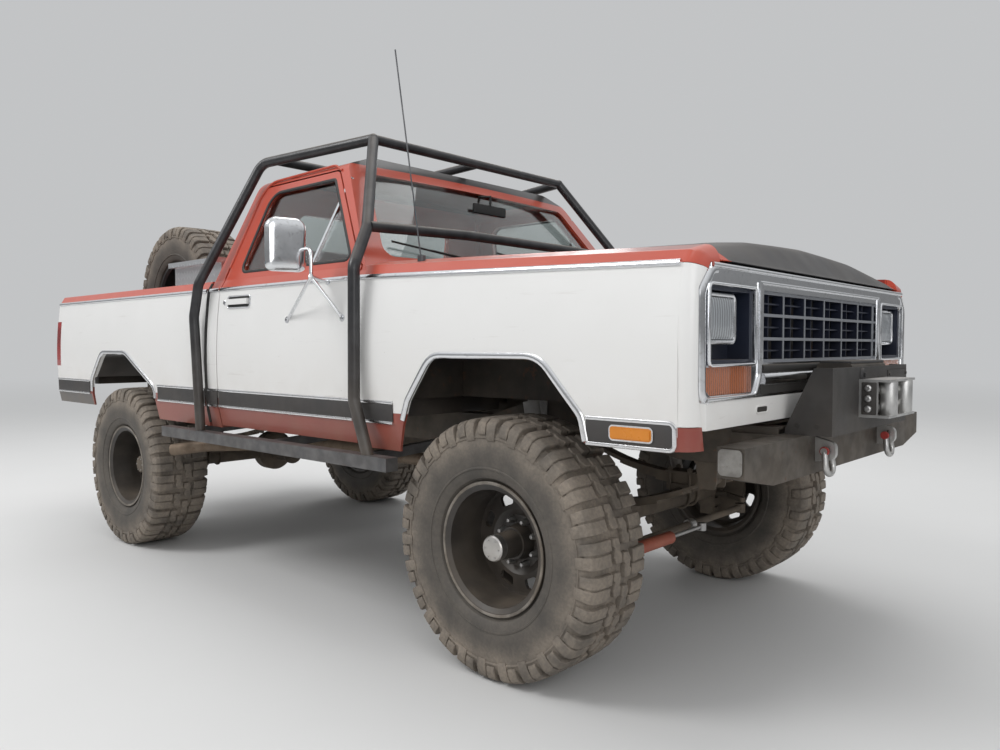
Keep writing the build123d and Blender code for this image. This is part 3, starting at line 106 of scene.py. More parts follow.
class Nodes:
    """A node tree, with short calls for the nodes that the looks use."""

    def __init__(self, tree):
        self.tree = tree

    def add(self, kind, **settings):
        node = self.tree.nodes.new(kind)
        for key, value in settings.items():
            setattr(node, key, value)
        return node

    def feed(self, socket, value):
        if isinstance(value, bpy.types.NodeSocket):
            self.tree.links.new(value, socket)
        elif isinstance(value, tuple) and len(value) == 3 and socket.type == "RGBA":
            socket.default_value = (*value, 1)
        else:
            socket.default_value = value

    def math(self, operation, *values):
        node = self.add("ShaderNodeMath", operation=operation)
        for socket, value in zip(node.inputs, values):
            self.feed(socket, value)
        return node.outputs[0]

    def product(self, first, *others):
        for value in others:
            first = self.math("MULTIPLY", first, value)
        return first

    def largest(self, first, *others):
        for value in others:
            first = self.math("MAXIMUM", first, value)
        return first

    def split(self, vector):
        """The X, Y and Z outputs of a vector."""
        node = self.add("ShaderNodeSeparateXYZ")
        self.feed(node.inputs[0], vector)
        return node.outputs

    def step(self, value, low, high, start=0.0, end=1.0):
        """start below low and end above high, smooth between; low may be the larger."""
        node = self.add("ShaderNodeMapRange", interpolation_type="SMOOTHSTEP")
        self.feed(node.inputs["Value"], value)
        if low > high:
            low, high, start, end = high, low, end, start
        for name, number in (("From Min", low), ("From Max", high), ("To Min", start), ("To Max", end)):
            node.inputs[name].default_value = number
        return node.outputs["Result"]

    def mix(self, share, under, over, kind="RGBA"):
        node = self.add("ShaderNodeMix", data_type=kind)
        for name, value in (("Factor", share), ("A", under), ("B", over)):
            self.feed(node.inputs[name], value)
        return node.outputs["Result"]

    def blend(self, share, under, over):
        return self.mix(share, under, over, "FLOAT")


class Look(Nodes):
    """One node material, built from its shader outward."""

    def __init__(self, name, metallic=0.0, roughness=0.5, colour=(0.5, 0.5, 0.5)):
        self.material = bpy.data.materials.new(name)
        self.material.use_nodes = True
        super().__init__(self.material.node_tree)
        self.shader = next(n for n in self.tree.nodes if n.type == "BSDF_PRINCIPLED")
        self.put("Metallic", metallic)
        self.put("Roughness", roughness)
        self.put("Base Color", colour)
        self.place = self.add("ShaderNodeTexCoord").outputs["Object"]
        self.xyz = None

    def put(self, socket, value):
        """Set or link one of the shader's own sockets."""
        self.feed(self.shader.inputs[socket], value)

    def axis(self, name):
        if self.xyz is None:
            self.xyz = self.split(self.place)
        return self.xyz[name]

    def noise(self, scale, detail, stretch=None, rough=0.55):
        node = self.add("ShaderNodeTexNoise")
        for name, value in (("Scale", scale), ("Detail", detail), ("Roughness", rough)):
            node.inputs[name].default_value = value
        place = self.place
        if stretch is not None:
            mapping = self.add("ShaderNodeMapping")
            self.feed(mapping.inputs["Vector"], self.place)
            mapping.inputs["Scale"].default_value = stretch
            place = mapping.outputs[0]
        self.feed(node.inputs["Vector"], place)
        return node.outputs["Fac"]

    def facing(self, axis):
        """The part of the surface normal along one world axis."""
        return self.split(self.add("ShaderNodeNewGeometry").outputs["Normal"])[axis]

    def bump(self, height, distance, strength):
        node = self.add("ShaderNodeBump")
        node.inputs["Strength"].default_value = strength
        node.inputs["Distance"].default_value = distance
        self.feed(node.inputs["Height"], height)
        normal = self.shader.inputs["Normal"]
        if normal.links:
            self.feed(node.inputs["Normal"], normal.links[0].from_socket)
        self.feed(normal, node.outputs[0])

    def dusted(self, colour, roughness, low, high, amount, top):
        """Lay tan dust that thickens from height high down to low and on upward faces."""
        fall = self.product(self.step(self.axis("Z"), high, low), amount)
        lying = self.product(self.step(self.facing("Z"), 0.35, 0.95), top)
        cloud = self.step(self.noise(6, 6), 0.3, 0.68)
        share = self.product(self.largest(fall, lying), self.blend(cloud, 0.45, 1.0))
        self.put("Base Color", self.mix(share, colour, TAN_DUST))
        self.put("Roughness", self.blend(share, roughness, 0.9))

    def enamelled(self, colour, rough):
        """Dusty enamel under a thin clear coat."""
        self.dusted(colour, rough, 0.72, 1.30, 0.28, top=0.20)
        self.put("Coat Weight", 0.25)
        self.put("Coat Roughness", 0.12)


def body_paint():
    """Two-tone enamel by height: white flanks, orange-red above the belt; under the moulding, painted shade
    in darker red.

    The cab's inside is darker red, painted shade. The roof, wheel houses, underside and low rear corners
    are black."""
    look = Look("body_paint")
    x, y, z = look.axis("X"), look.axis("Y"), look.axis("Z")
    half = look.math("ABSOLUTE", y)
    fall = look.largest(look.product(look.math("SUBTRACT", x, 0.7225), 0.0287), 0.0)
    belt = look.math("SUBTRACT", BELT_Z / 1000, look.math("MINIMUM", fall, 0.042))
    upper = look.step(look.math("SUBTRACT", z, belt), -0.001, 0.001)
    # Painted shade: below the middle of the side band the red darkens; dark holds that darkened red.
    under_band_shade = look.step(z, 0.917, 0.915)
    white, red, dark, black = (look.mix(look.noise(scale, 5), *ENAMEL[name]) for scale, name in
                               ((3, "white"), (4, "red"), (5, "shaded_red"), (6, "black")))
    colour = look.mix(under_band_shade, look.mix(upper, white, red), dark)
    # Painted shade: inside faces under the belt, the cab's inside among them, take the darkened red.
    inside = look.product(look.step(half, 0.945, 0.935), look.step(z, 1.49, 1.48),
                          look.step(x, 2.182, 2.178))
    colour = look.mix(inside, colour, dark)
    corner = look.product(look.step(x, -1.94, -1.942), look.step(z, 0.876, 0.874))
    colour = look.mix(look.largest(look.step(z, 1.992, 1.994), corner), colour, black)
    outward = look.product(look.facing("Y"), look.math("SIGN", y))
    wheel_side = look.product(look.step(outward, 0.2, 0.3), look.step(half, 0.971, 0.970))
    skin_back = look.product(look.step(outward, -0.2, -0.3), look.step(half, 0.944, 0.945))
    under = look.product(look.step(look.facing("Z"), -0.2, -0.3), look.step(half, 0.986, 0.985))
    cavity = look.product(look.largest(wheel_side, skin_back, under), look.step(z, 1.26, 1.255),
                          look.step(x, -0.90, -0.91))
    below = look.product(look.step(half, 0.932, 0.930), look.step(z, 0.992, 0.990), look.step(x, 2.0, 1.98))
    colour = look.mix(look.largest(cavity, below), colour, black)
    streak = look.step(look.noise(9, 8, (0.35, 1, 5), 0.65), 0.60, 0.72)
    colour = look.mix(look.product(streak, 0.16), colour, (0.30, 0.25, 0.20))
    chips = look.step(look.noise(55, 3, None, 0.7), 0.735, 0.76)
    colour = look.mix(look.product(chips, look.step(z, 1.5, 0.9)), colour, (0.10, 0.045, 0.025))
    look.enamelled(colour, look.blend(look.noise(12, 4), 0.24, 0.40))
    look.bump(look.noise(2.6, 2), 0.006, 0.5)
    look.bump(look.noise(420, 2), 0.0002, 0.25)
    return look.material


def enamel(name):
    """Plain enamel for the panels that scene pieces add to the body."""
    look = Look(f"{name}_enamel")
    look.enamelled(look.mix(look.noise(3, 5), *ENAMEL[name]), look.blend(look.noise(12, 4), 0.24, 0.40))
    return look.material


def hood_paint():
    """Satin black, red along both edges."""
    look = Look("hood_black")
    black = look.mix(look.noise(5, 6), (0.022, 0.022, 0.024), (0.040, 0.040, 0.043))
    red = look.mix(look.noise(4, 5), *ENAMEL["red"])
    outer = look.step(look.math("ABSOLUTE", look.axis("Y")), 0.789, 0.791)
    rough = look.blend(look.noise(9, 5), 0.42, 0.62)
    look.dusted(look.mix(outer, black, red), rough, 0.0, 0.1, 0.0, top=0.13)
    look.bump(look.noise(2.2, 2), 0.006, 0.5)
    return look.material


def coated(name, dark, light, rough, dust, rust=0.0, low=0.3, high=1.4, top=0.35, metallic=0.0, grain=0.0):
    """Painted or bare metal with worn spots, rust and dust."""
    look = Look(name, metallic)
    colour = look.mix(look.step(look.noise(14, 6), 0.35, 0.7), dark, light)
    if rust:
        spots = look.step(look.noise(22, 8, None, 0.7), 0.66 - 0.2 * rust, 0.76 - 0.2 * rust)
        colour = look.mix(spots, colour, RUST)
    look.dusted(colour, look.blend(look.noise(20, 5), *rough), low, high, dust, top=top)
    if grain:
        look.bump(look.noise(900, 2), grain, 0.6)
    look.bump(look.noise(30, 5), 0.0008, 0.3)
    return look.material


def chrome(name):
    look = Look(name, 1.0, 0.1)
    colour = look.mix(look.step(look.noise(60, 5), 0.55, 0.75), (0.78, 0.79, 0.81), (0.60, 0.60, 0.60))
    look.dusted(colour, look.blend(look.noise(18, 5), 0.07, 0.22), 0.7, 1.2, 0.30, top=0.10)
    return look.material


def rubber():
    """Tyre rubber: tan dust over the tread and the outer walls, less towards the rim."""
    look = Look("tyre_rubber")
    colour = look.mix(look.noise(30, 6), (0.030, 0.028, 0.026), (0.055, 0.051, 0.046))
    cloud = look.step(look.noise(7, 8, None, 0.62), 0.30, 0.62)
    fine = look.step(look.noise(90, 5), 0.35, 0.65)
    dust = look.mix(look.noise(16, 5), (0.20, 0.170, 0.140), (0.32, 0.268, 0.215))
    squares = [look.math("POWER", look.axis(name), 2.0) for name in ("X", "Z")]
    radius = look.math("SQRT", look.math("ADD", *squares))
    share = look.product(look.blend(cloud, 0.35, 0.92), look.blend(fine, 0.75, 1.0),
                         look.blend(look.step(radius, 0.315, 0.400), 0.30, 1.0))
    look.put("Base Color", look.mix(share, colour, dust))
    look.put("Roughness", look.blend(share, 0.62, 0.95))
    look.bump(look.noise(160, 4), 0.0006, 0.6)
    return look.material


def clear():
    """Window glass with a faint film of dirt."""
    tint = (0.82, 0.88, 0.87)
    look = Look("glass", 0.0, 0.0, tint)
    look.put("Transmission Weight", 1.0)
    look.put("IOR", 1.45)
    film = look.product(look.step(look.noise(5, 6), 0.35, 0.75), 0.10)
    look.put("Base Color", look.mix(film, tint, (0.45, 0.40, 0.33)))
    look.put("Roughness", look.blend(film, 0.0, 0.8))
    return look.material


def moulded(name, colour, roughness, grain=0.0003, dust=0.2, front=None):
    """Moulded plastic; front is (x, colour) for a face colour ahead of that x in metres."""
    look = Look(name)
    base = look.mix(look.noise(18, 5), colour, tuple(c * 1.35 for c in colour))
    if front is not None:
        base = look.mix(look.step(look.axis("X"), front[0] - 0.0005, front[0] + 0.0005), base, front[1])
    look.dusted(base, look.blend(look.noise(25, 4), roughness, roughness + 0.15), 0.4, 1.3, dust, top=0.3)
    look.bump(look.noise(700, 2), grain, 0.5)
    return look.material


def lens(name, colour, ribs):
    """Ribbed coloured lens, darker in the troughs of its ribs as painted shade."""
    look = Look(name, 0.0, 0.18, colour)
    wave = look.math("SINE", look.product(look.axis("Y"), ribs))
    share = look.step(wave, -0.8, 0.9)
    # Painted shade: the colour darkens in the troughs of the ribs.
    base = look.mix(share, tuple(c * 0.62 for c in colour), colour)
    look.dusted(base, look.blend(share, 0.12, 0.25), 0.6, 1.3, 0.22, top=0.3)
    look.bump(wave, 0.0012, 0.7)
    look.put("Coat Weight", 0.6)
    return look.material


def vinyl():
    look = Look("vinyl")
    colour = look.mix(look.noise(8, 5), (0.105, 0.026, 0.020), (0.150, 0.042, 0.032))
    look.dusted(colour, look.blend(look.noise(15, 4), 0.42, 0.6), 0.0, 0.1, 0.0, top=0.15)
    cells = look.add("ShaderNodeTexVoronoi", feature="DISTANCE_TO_EDGE")
    cells.inputs["Scale"].default_value = 420
    look.feed(cells.inputs["Vector"], look.place)
    look.bump(cells.outputs["Distance"], 0.0006, 0.6)
    return look.material


def tread_plate():
    """Bright aluminium with the usual crossed lozenge pattern raised on every face."""
    look = Look("aluminium_plate", 1.0, 0.22)
    normal = look.split(look.add("ShaderNodeNewGeometry").outputs["True Normal"])
    on_end, on_top = (look.math("GREATER_THAN", look.math("ABSOLUTE", normal[axis]), 0.7) for axis in "XZ")
    pitch = 30.0
    u = look.product(look.blend(on_end, look.axis("X"), look.axis("Y")), pitch)
    v = look.product(look.blend(on_top, look.axis("Z"), look.axis("Y")), pitch)
    a, b = (look.math("SUBTRACT", look.math("FRACT", w), 0.5) for w in (u, v))
    cell = look.math("ADD", look.math("FLOOR", u), look.math("FLOOR", v))
    odd = look.math("GREATER_THAN", look.math("FRACT", look.product(cell, 0.5)), 0.25)
    along, across = (look.math("ABSOLUTE", look.math(operation, a, b)) for operation in ("ADD", "SUBTRACT"))
    long_way = look.math("DIVIDE", look.blend(odd, along, across), 0.74)
    short_way = look.math("DIVIDE", look.blend(odd, across, along), 0.22)
    raised = look.step(look.math("ADD", long_way, short_way), 1.0, 0.75)
    colour = look.mix(look.noise(9, 5), (0.52, 0.53, 0.55), (0.64, 0.65, 0.66))
    colour = look.mix(look.product(raised, 0.5), colour, (0.74, 0.75, 0.76))
    look.dusted(colour, look.blend(raised, 0.44, 0.28), 0.0, 0.1, 0.0, top=0.12)
    look.bump(raised, 0.0015, 1.0)
    return look.material


COATINGS = {
    # name: dark colour, light colour, roughness, dust, rust
    "cage_black": ((0.014, 0.014, 0.016), (0.030, 0.030, 0.033), (0.26, 0.45), 0.35),
    # Frame, cast metal and spring steel carry less dust, which keeps them dark: real dust, thinned as
    # painted shade under the truck.
    "frame_black": ((0.016, 0.015, 0.014), (0.035, 0.031, 0.027), (0.5, 0.75), 0.50, 0.45),
    "worn_steel": ((0.055, 0.050, 0.045), (0.115, 0.105, 0.095), (0.42, 0.62), 0.35, 0.30),
    "winch_plate": ((0.018, 0.018, 0.019), (0.028, 0.028, 0.029), (0.5, 0.66), 0.25),
    "wheel_black": ((0.010, 0.010, 0.011), (0.022, 0.021, 0.021), (0.30, 0.48), 0.24),
    "cast_metal": ((0.020, 0.018, 0.016), (0.045, 0.039, 0.033), (0.5, 0.8), 0.50, 0.3),
    "shock_silver": ((0.30, 0.30, 0.30), (0.42, 0.42, 0.42), (0.35, 0.5), 0.6, 0.1),
    "spring_steel": ((0.030, 0.026, 0.022), (0.070, 0.058, 0.046), (0.5, 0.75), 0.50, 0.5),
    "polished_steel": ((0.55, 0.56, 0.58), (0.66, 0.67, 0.68), (0.10, 0.22), 0.1),
    "zinc": ((0.42, 0.42, 0.42), (0.58, 0.58, 0.57), (0.25, 0.45), 0.2, 0.1),
    "hub_alloy": ((0.50, 0.49, 0.47), (0.62, 0.61, 0.60), (0.22, 0.42), 0.25),
    "pin_red": ((0.28, 0.012, 0.012), (0.36, 0.020, 0.018), (0.3, 0.5), 0.2),
    "slider_steel": ((0.085, 0.088, 0.094), (0.15, 0.15, 0.155), (0.36, 0.52), 0.15, 0.12),
    "damper_red": ((0.34, 0.045, 0.018), (0.46, 0.075, 0.030), (0.35, 0.5), 0.35, 0.1),
    "worn_lip": ((0.10, 0.094, 0.085), (0.26, 0.245, 0.225), (0.4, 0.6), 0.35, 0.1),
    # The bumper end caps' bright metal is darkened here for the shade it shows: painted shade.
    "shaded_end": ((0.20, 0.19, 0.18), (0.36, 0.35, 0.33), (0.25, 0.45), 0.1, 0.25),
    "exhaust_steel": ((0.12, 0.085, 0.06), (0.22, 0.17, 0.13), (0.45, 0.7), 0.6, 0.4),
}
COATING_EXTRAS = {
    "cage_black": {"top": 0.30}, "worn_steel": {"metallic": 0.75, "top": 0.25},
    "winch_plate": {"grain": 0.0012, "top": 0.3}, "wheel_black": {"top": 0.30, "low": 0.05, "high": 1.0},
    "polished_steel": {"metallic": 1.0, "top": 0.1}, "slider_steel": {"metallic": 0.6, "top": 0.15},
    "zinc": {"metallic": 0.9}, "hub_alloy": {"metallic": 1.0}, "worn_lip": {"metallic": 0.6},
    "shaded_end": {"metallic": 0.9}, "exhaust_steel": {"metallic": 0.7},
}
looks = {name: coated(name, *values, **COATING_EXTRAS.get(name, {})) for name, values in COATINGS.items()}
looks.update({
    "body_paint": body_paint(), "hood_black": hood_paint(),
    # The darkened red enamel here is painted shade.
    "white": enamel("white"), "red": enamel("red"), "shaded_red": enamel("shaded_red"),
    "chrome": chrome("chrome"), "mirror": chrome("mirror_face"),
    "grille_plastic": moulded("grille_plastic", (0.010, 0.013, 0.026), 0.35,
                              front=((785.5 + SHIFT_X) / 1000, (0.19, 0.20, 0.22))),
    "lamp_clear": moulded("lamp_case", (0.012, 0.016, 0.030), 0.35),
    "lamp_amber": lens("lamp_amber", (0.42, 0.105, 0.022), 520),
    "lamp_red": lens("lamp_red", (0.34, 0.012, 0.012), 520),
    "fluted": lens("fluted", (0.34, 0.36, 0.38), 420),
    "marker_amber": moulded("marker_amber", (0.52, 0.175, 0.012), 0.2, 0.0002, dust=0.06),
    "dash_plastic": moulded("dash_plastic", (0.035, 0.016, 0.014), 0.55),
    "band": moulded("band", (0.022, 0.022, 0.024), 0.5),
    "seal": moulded("seal", (0.014, 0.014, 0.014), 0.6),
    "glass": clear(), "tyre_rubber": rubber(), "vinyl": vinyl(), "aluminium_plate": tread_plate(),
})

NODE_LOOKS = {"sliders": "slider_steel", "antenna": "slider_steel"}
for part in frame["record"]["subparts"]:
    node = frame["nodes"][part["node"]]
    node.data.materials.clear()
    node.data.materials.append(looks[NODE_LOOKS.get(part["node"], part["material_slot"])])


# Mesh building

# Sections of mouldings in half widths and heights
HALF_ROUND = [(-1, -0.2), (-1, 0.35), (-0.75, 0.8), (-0.3, 1), (0.3, 1), (0.75, 0.8), (1, 0.35), (1, -0.2)]
FLAT_BAND = [(-1, -0.4), (-1, 0.6), (-0.93, 1), (0.93, 1), (1, 0.6), (1, -0.4)]


class Shape:
    """A mesh in millimetres, put together from lofts, boxes, turnings, tubes, strips and prisms."""

    def __init__(self):
        self.mesh = bmesh.new()

    def loft(self, rings, closed=False, caps=(0, -1)):
        """Skin a row of rings of points; a ring may be one point. The rings named by caps get a face."""
        rings = [[self.mesh.verts.new(point) for point in ring] for ring in rings]
        pairs = list(zip(rings, rings[1:]))
        if closed:
            pairs.append((rings[-1], rings[0]))
        else:
            for end in caps:
                self.mesh.faces.new(rings[end])
        for a, b in pairs:
            for k in range(max(len(a), len(b))):
                corners = [a[k % len(a)], a[(k + 1) % len(a)], b[(k + 1) % len(b)], b[k % len(b)]]
                corners = list(dict.fromkeys(corners))
                if len(corners) > 2:
                    self.mesh.faces.new(corners)
        return rings

    def box(self, start, end, bevel):
        """A box between two opposite corners."""
        made = bmesh.ops.create_cube(self.mesh, size=1.0)
        start, end = Vector(start), Vector(end)
        size = Vector(abs(length) for length in end - start)
        for vertex in made["verts"]:
            vertex.co = (start + end) / 2 + vertex.co * size
        edges = list({e for v in made["verts"] for e in v.link_edges})
        bmesh.ops.bevel(self.mesh, geom=edges, offset=bevel, segments=2, profile=0.6, affect="EDGES")

    def lathe(self, profile, centre, axis, segments, form="solid"):
        """Turn an (along, radius) profile: solid closes it on the axis, ring on itself, open leaves it."""
        turn = Vector((0, 0, 1)).rotation_difference(Vector(axis).normalized())
        centre = Vector(centre)
        if form == "solid":
            profile = list(dict.fromkeys([(profile[0][0], 0), *profile, (profile[-1][0], 0)]))
        rings = []
        for along, radius in profile:
            angles = [2 * math.pi * k / segments for k in range(segments if radius else 1)]
            rings.append([centre + turn @ Vector((radius * math.cos(a), radius * math.sin(a), along))
                          for a in angles])
        self.loft(rings, closed=form == "ring", caps=())

    def tube(self, points, radius, segments):
        """A round tube along 3-D points."""
        points = [Vector(p) for p in points]
        rings = []
        normal = None
        for point, along in zip(points, directions(points)):
            if normal is None:
                normal = along.orthogonal().normalized()
            normal = (normal - along * normal.dot(along)).normalized()
            other = along.cross(normal)
            angles = [2 * math.pi * k / segments for k in range(segments)]
            rings.append([point + normal * radius * math.cos(a) + other * radius * math.sin(a)
                          for a in angles])
        self.loft(rings)

    def strip(self, path, normals, half_width, height, section=HALF_ROUND, closed=False):
        """A moulding along 3-D points, standing off a surface with those normals, or with one normal."""
        if isinstance(normals, Vector):
            normals = [normals] * len(path)
        rings = []
        for point, normal, along in zip(path, normals, directions(path, closed)):
            across = normal.cross(along).normalized()
            rings.append([point + across * (u * half_width) + normal * (v * height) for u, v in section])
        self.loft(rings, closed)

    def prism(self, outline, place, low, high):
        """A closed outline of 2-D points carried from low to high; place(u, v, w) gives the 3-D point."""
        self.loft([[place(u, v, w) for u, v in outline] for w in (low, high)])


def directions(points, closed=False):
    """Unit directions along a row of 3-D points."""
    count = len(points)
    out = []
    for i, point in enumerate(points):
        before = points[i - 1] if i or closed else point
        after = points[(i + 1) % count] if i < count - 1 or closed else point
        out.append((after - before).normalized())
    return out


def finished(name, shape, look, angle):
    """The mesh of a shape, smooth but for edges over that angle."""
    data = bpy.data.meshes.new(name)
    bmesh.ops.recalc_face_normals(shape.mesh, faces=shape.mesh.faces)
    shape.mesh.to_mesh(data)
    shape.mesh.free()
    data.shade_smooth()
    data.set_sharp_from_angle(angle=math.radians(angle))
    data.materials.append(looks[look])
    return data


def placed(name, data):
    """A new object of the scene."""
    made = bpy.data.objects.new(name, data)
    scene.collection.objects.link(made)
    return made


def piece(name, slot, shape, look=None, body="root", angle=35, replaces=()):
    """Finish a shape as one object that rides on a body, with its slot's look or another."""
    for vertex in shape.mesh.verts:
        vertex.co = metres(vertex.co)
    made = placed(name, finished(name, shape, look or slot, angle))
    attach(made, body)
    if replaces:
        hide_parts(*replaces)
    return made


def rounded(corners, closed=True, step=12):
    """Points of a polyline whose (x, y, radius) corners are rounded."""
    points = []
    count = len(corners)
    for i, corner in enumerate(corners):
        here = Vector(corner[:2])
        radius = corner[2] if len(corner) > 2 else 0
        if not radius or (not closed and i in (0, count - 1)):
            points.append(tuple(here))
            continue
        back = (Vector(corners[i - 1][:2]) - here).normalized()
        ahead = (Vector(corners[(i + 1) % count][:2]) - here).normalized()
        half = back.angle(ahead) / 2
        reach = radius / math.tan(half)
        centre = here + (back + ahead).normalized() * (radius / math.sin(half))
        start, end = here + back * reach - centre, here + ahead * reach - centre
        turn = start.angle_signed(end)
        pieces = max(2, math.ceil(abs(turn) * radius / step))
        for k in range(pieces + 1):
            spun = start.copy()
            spun.rotate(Matrix.Rotation(-turn * k / pieces, 2))
            points.append(tuple(centre + spun))
    return points


def panel(u0, v0, u1, v1, radius, top=None, step=8):
    """A rounded rectangle; top is the radius of its upper corners where that differs."""
    top = top or radius
    return rounded([(u0, v0, radius), (u1, v0, radius), (u1, v1, top), (u0, v1, top)], step=step)


def spaced(points, gap):
    """The polyline with points added so that none is further apart than gap."""
    out = []
    for a, b in zip(points, points[1:]):
        a, b = Vector(a), Vector(b)
        count = max(1, math.ceil((b - a).length / gap))
        out += [tuple(a.lerp(b, k / count)) for k in range(count)]
    return out + [tuple(points[-1])]


def moved_out(points, amount):
    """An open 2-D polyline moved sideways, to the left of its direction."""
    out = []
    for i, point in enumerate(points):
        before = Vector(points[max(i - 1, 0)])
        after = Vector(points[min(i + 1, len(points) - 1)])
        along = (after - before).normalized()
        out.append((point[0] - along.y * amount, point[1] + along.x * amount))
    return out


def value_at(line, u):
    """Value at u of a polyline of (u, value) points."""
    for (u0, value0), (u1, value1) in zip(line, line[1:]):
        if u <= u1:
            return value0 + (value1 - value0) * (u - u0) / (u1 - u0)
    return line[-1][1]


def arc_through(a, b, c):
    """Centre and radius of the circle through three 2-D points."""
    (ax, ay), (bx, by), (cx, cy) = a, b, c
    d = 2 * (ax * (by - cy) + bx * (cy - ay) + cx * (ay - by))
    aa, bb, cc = ax * ax + ay * ay, bx * bx + by * by, cx * cx + cy * cy
    u = (aa * (by - cy) + bb * (cy - ay) + cc * (ay - by)) / d
    v = (aa * (cx - bx) + bb * (ax - cx) + cc * (bx - ax)) / d
    return u, v, math.hypot(ax - u, ay - v)


# The body's surfaces

FALL_START_X = -710
BELT_FALL = 42
SHOULDER_FALL = 52


def side_lines(x):
    """Belt and shoulder heights of the body side at x: level behind the fender, falling along it."""
    share = min(max((x - FALL_START_X) / (FENDER_FRONT_X - FALL_START_X), 0), 1)
    return BELT_Z - BELT_FALL * share, SHOULDER_Z - SHOULDER_FALL * share


def side_y(x, z):
    """How far out the body side is at x and z."""
    belt, shoulder = side_lines(x)
    if z < BAND_TOP_Z:
        return value_at(LOW_SIDE, z)
    if z > belt:
        return BELT_HALF - (BELT_HALF - SHOULDER_HALF) * (z - belt) / (shoulder - belt)
    belly = (BELLY_HALF, (BAND_TOP_Z + belt) / 2)
    u, v, radius = arc_through((BAND_TOP_HALF, BAND_TOP_Z), belly, (BELT_HALF, belt))
    return u + math.sqrt(radius ** 2 - (z - v) ** 2)


def on_side(points, sign, lift=0.0):
    """3-D points and outward normals on the body side for (x, z) points."""
    path, normals = [], []
    for x, z in points:
        fall = (side_y(x, z + 1) - side_y(x, z - 1)) / 2
        run = (side_y(x + 1, z) - side_y(x - 1, z)) / 2
        normal = Vector((-run, sign, -fall)).normalized()
        path.append(Vector((x, sign * side_y(x, z), z)) + normal * lift)
        normals.append(normal)
    return path, normals


SCREEN_SLANT = 0.74
SCREEN_CENTRE_X = -625
SCREEN_CORNER_X = -700
SCREEN_CORNER_Y = 1018
SCREEN_DROP = 46


def screen_x(y, z, inset=0.0):
    """Where the leaning, curved windscreen is at y and z."""
    back = SCREEN_SLANT * SCREEN_DROP - inset * math.hypot(1, SCREEN_SLANT)
    corner, centre = SCREEN_CORNER_X + back, SCREEN_CENTRE_X + back
    u, _, radius = arc_through((corner, -SCREEN_CORNER_Y), (centre, 0), (corner, SCREEN_CORNER_Y))
    return u + math.sqrt(radius ** 2 - y ** 2) - SCREEN_SLANT * (z - SHOULDER_Z + SCREEN_DROP)


def on_glass(points, sign, inset):
    """3-D points on the leaning side wall of the cab, drawn in by inset, for (x, z) points."""
    return [Vector((x, sign * (SHOULDER_HALF - TUMBLE * (z - SHOULDER_Z) - inset), z)) for x, z in points]


def on_face(points, sign=1, x=FACE_X):
    """3-D points on a face square to the truck at x for (y, z) points."""
    return [Vector((x, sign * y, z)) for y, z in points]


def across(x, z, y):
    """Place for a prism whose (x, z) outline is carried across the truck."""
    return x, y, z


def drawn_in(outline, centre, half, inset):
    """An outline of that half size drawn in to its centre by inset."""
    (u0, v0), (half_u, half_v) = centre, half
    return [(u0 + (u - u0) * (1 - inset / half_u), v0 + (v - v0) * (1 - inset / half_v))
            for u, v in outline]


# Bright trim and mouldings of the body side

CORNER_RUN = ("root", -1893, -1803)
DOOR_RUN = ("door", DOOR_REAR_X + 5, DOOR_FRONT_X - 5)
BELT_RUNS = (
    # body, x from, x to
    ("root", BED_TAIL_X + 8, BED_FRONT_X - 4), CORNER_RUN, DOOR_RUN, ("root", -704, FENDER_FRONT_X - 4),
)
BAND_NOSE_X = 440
BAND_RUNS = (
    ("root", BED_TAIL_X + 8, -3392), ("root", -2452, BED_FRONT_X - 4), CORNER_RUN, DOOR_RUN,
    ("root", -704, -470), ("root", BAND_NOSE_X, FENDER_FRONT_X - 8),
)


def arch_line(corners):
    """The wheel arch's edge above the side band, moved out to the middle of its moulding."""
    points = spaced(rounded(corners, closed=False, step=22), 25)
    return moved_out([p for p in points if p[1] > BAND_LOW_Z - 4], 8)


for side, sign in SIDES:
    for owner, body in (("root", "root"), ("door", f"door_{side}")):
        bright, band = Shape(), Shape()
        for _, x0, x1 in (run for run in BELT_RUNS if run[0] == owner):
            line = [(x, side_lines(x)[0]) for x, _ in spaced([(x0, 0), (x1, 0)], 120)]
            bright.strip(*on_side(line, sign), 10, 8)
        for _, x0, x1 in (run for run in BAND_RUNS if run[0] == owner):
            low, high = BAND_LOW_Z + 2, BAND_TOP_Z - 2
            edges = [spaced([(x0, z), (x1, z)], 200) for z in (low, high)]
            if x0 == BAND_NOSE_X:
                loop = rounded([(x0, high), (x1, high, 18), (x1, low, 18), (x0, low)], closed=False, step=5)
                edges = [spaced(loop, 60)]
                x1 -= 5
            for edge in edges:
                bright.strip(*on_side(edge, sign), 7, 7)
            middle = (low + high) / 2
            band.strip(*on_side(spaced([(x0, middle), (x1, middle)], 200), sign), 37, 4, FLAT_BAND)
        if owner == "root":
            for corners in (FRONT_ARCH, REAR_ARCH):
                bright.strip(*on_side(arch_line(corners), sign), 12, 9)
        piece(f"bright_trim_{owner}_{side}", "chrome", bright, body=body)
        piece(f"side_band_{owner}_{side}", "dash_plastic", band, "band", body)
    rim, lamp = Shape(), Shape()
    for shape, grow, lift in ((rim, 5, 8), (lamp, 0, 10), (lamp, -4, 12)):
        ring = panel(531 - grow, 897 - grow, 672 + grow, 935 + grow, 9 + grow, step=3)
        shape.prism(ring, lambda u, v, w: (u, sign * (side_y(u, v) + w), v), -2, lift)
    piece(f"marker_rim_{side}", "chrome", rim)
    piece(f"marker_lamp_{side}", "lamp_amber", lamp, "marker_amber")


# Window seals, vent window bars, handles, drip rails, wipers and cowl slots

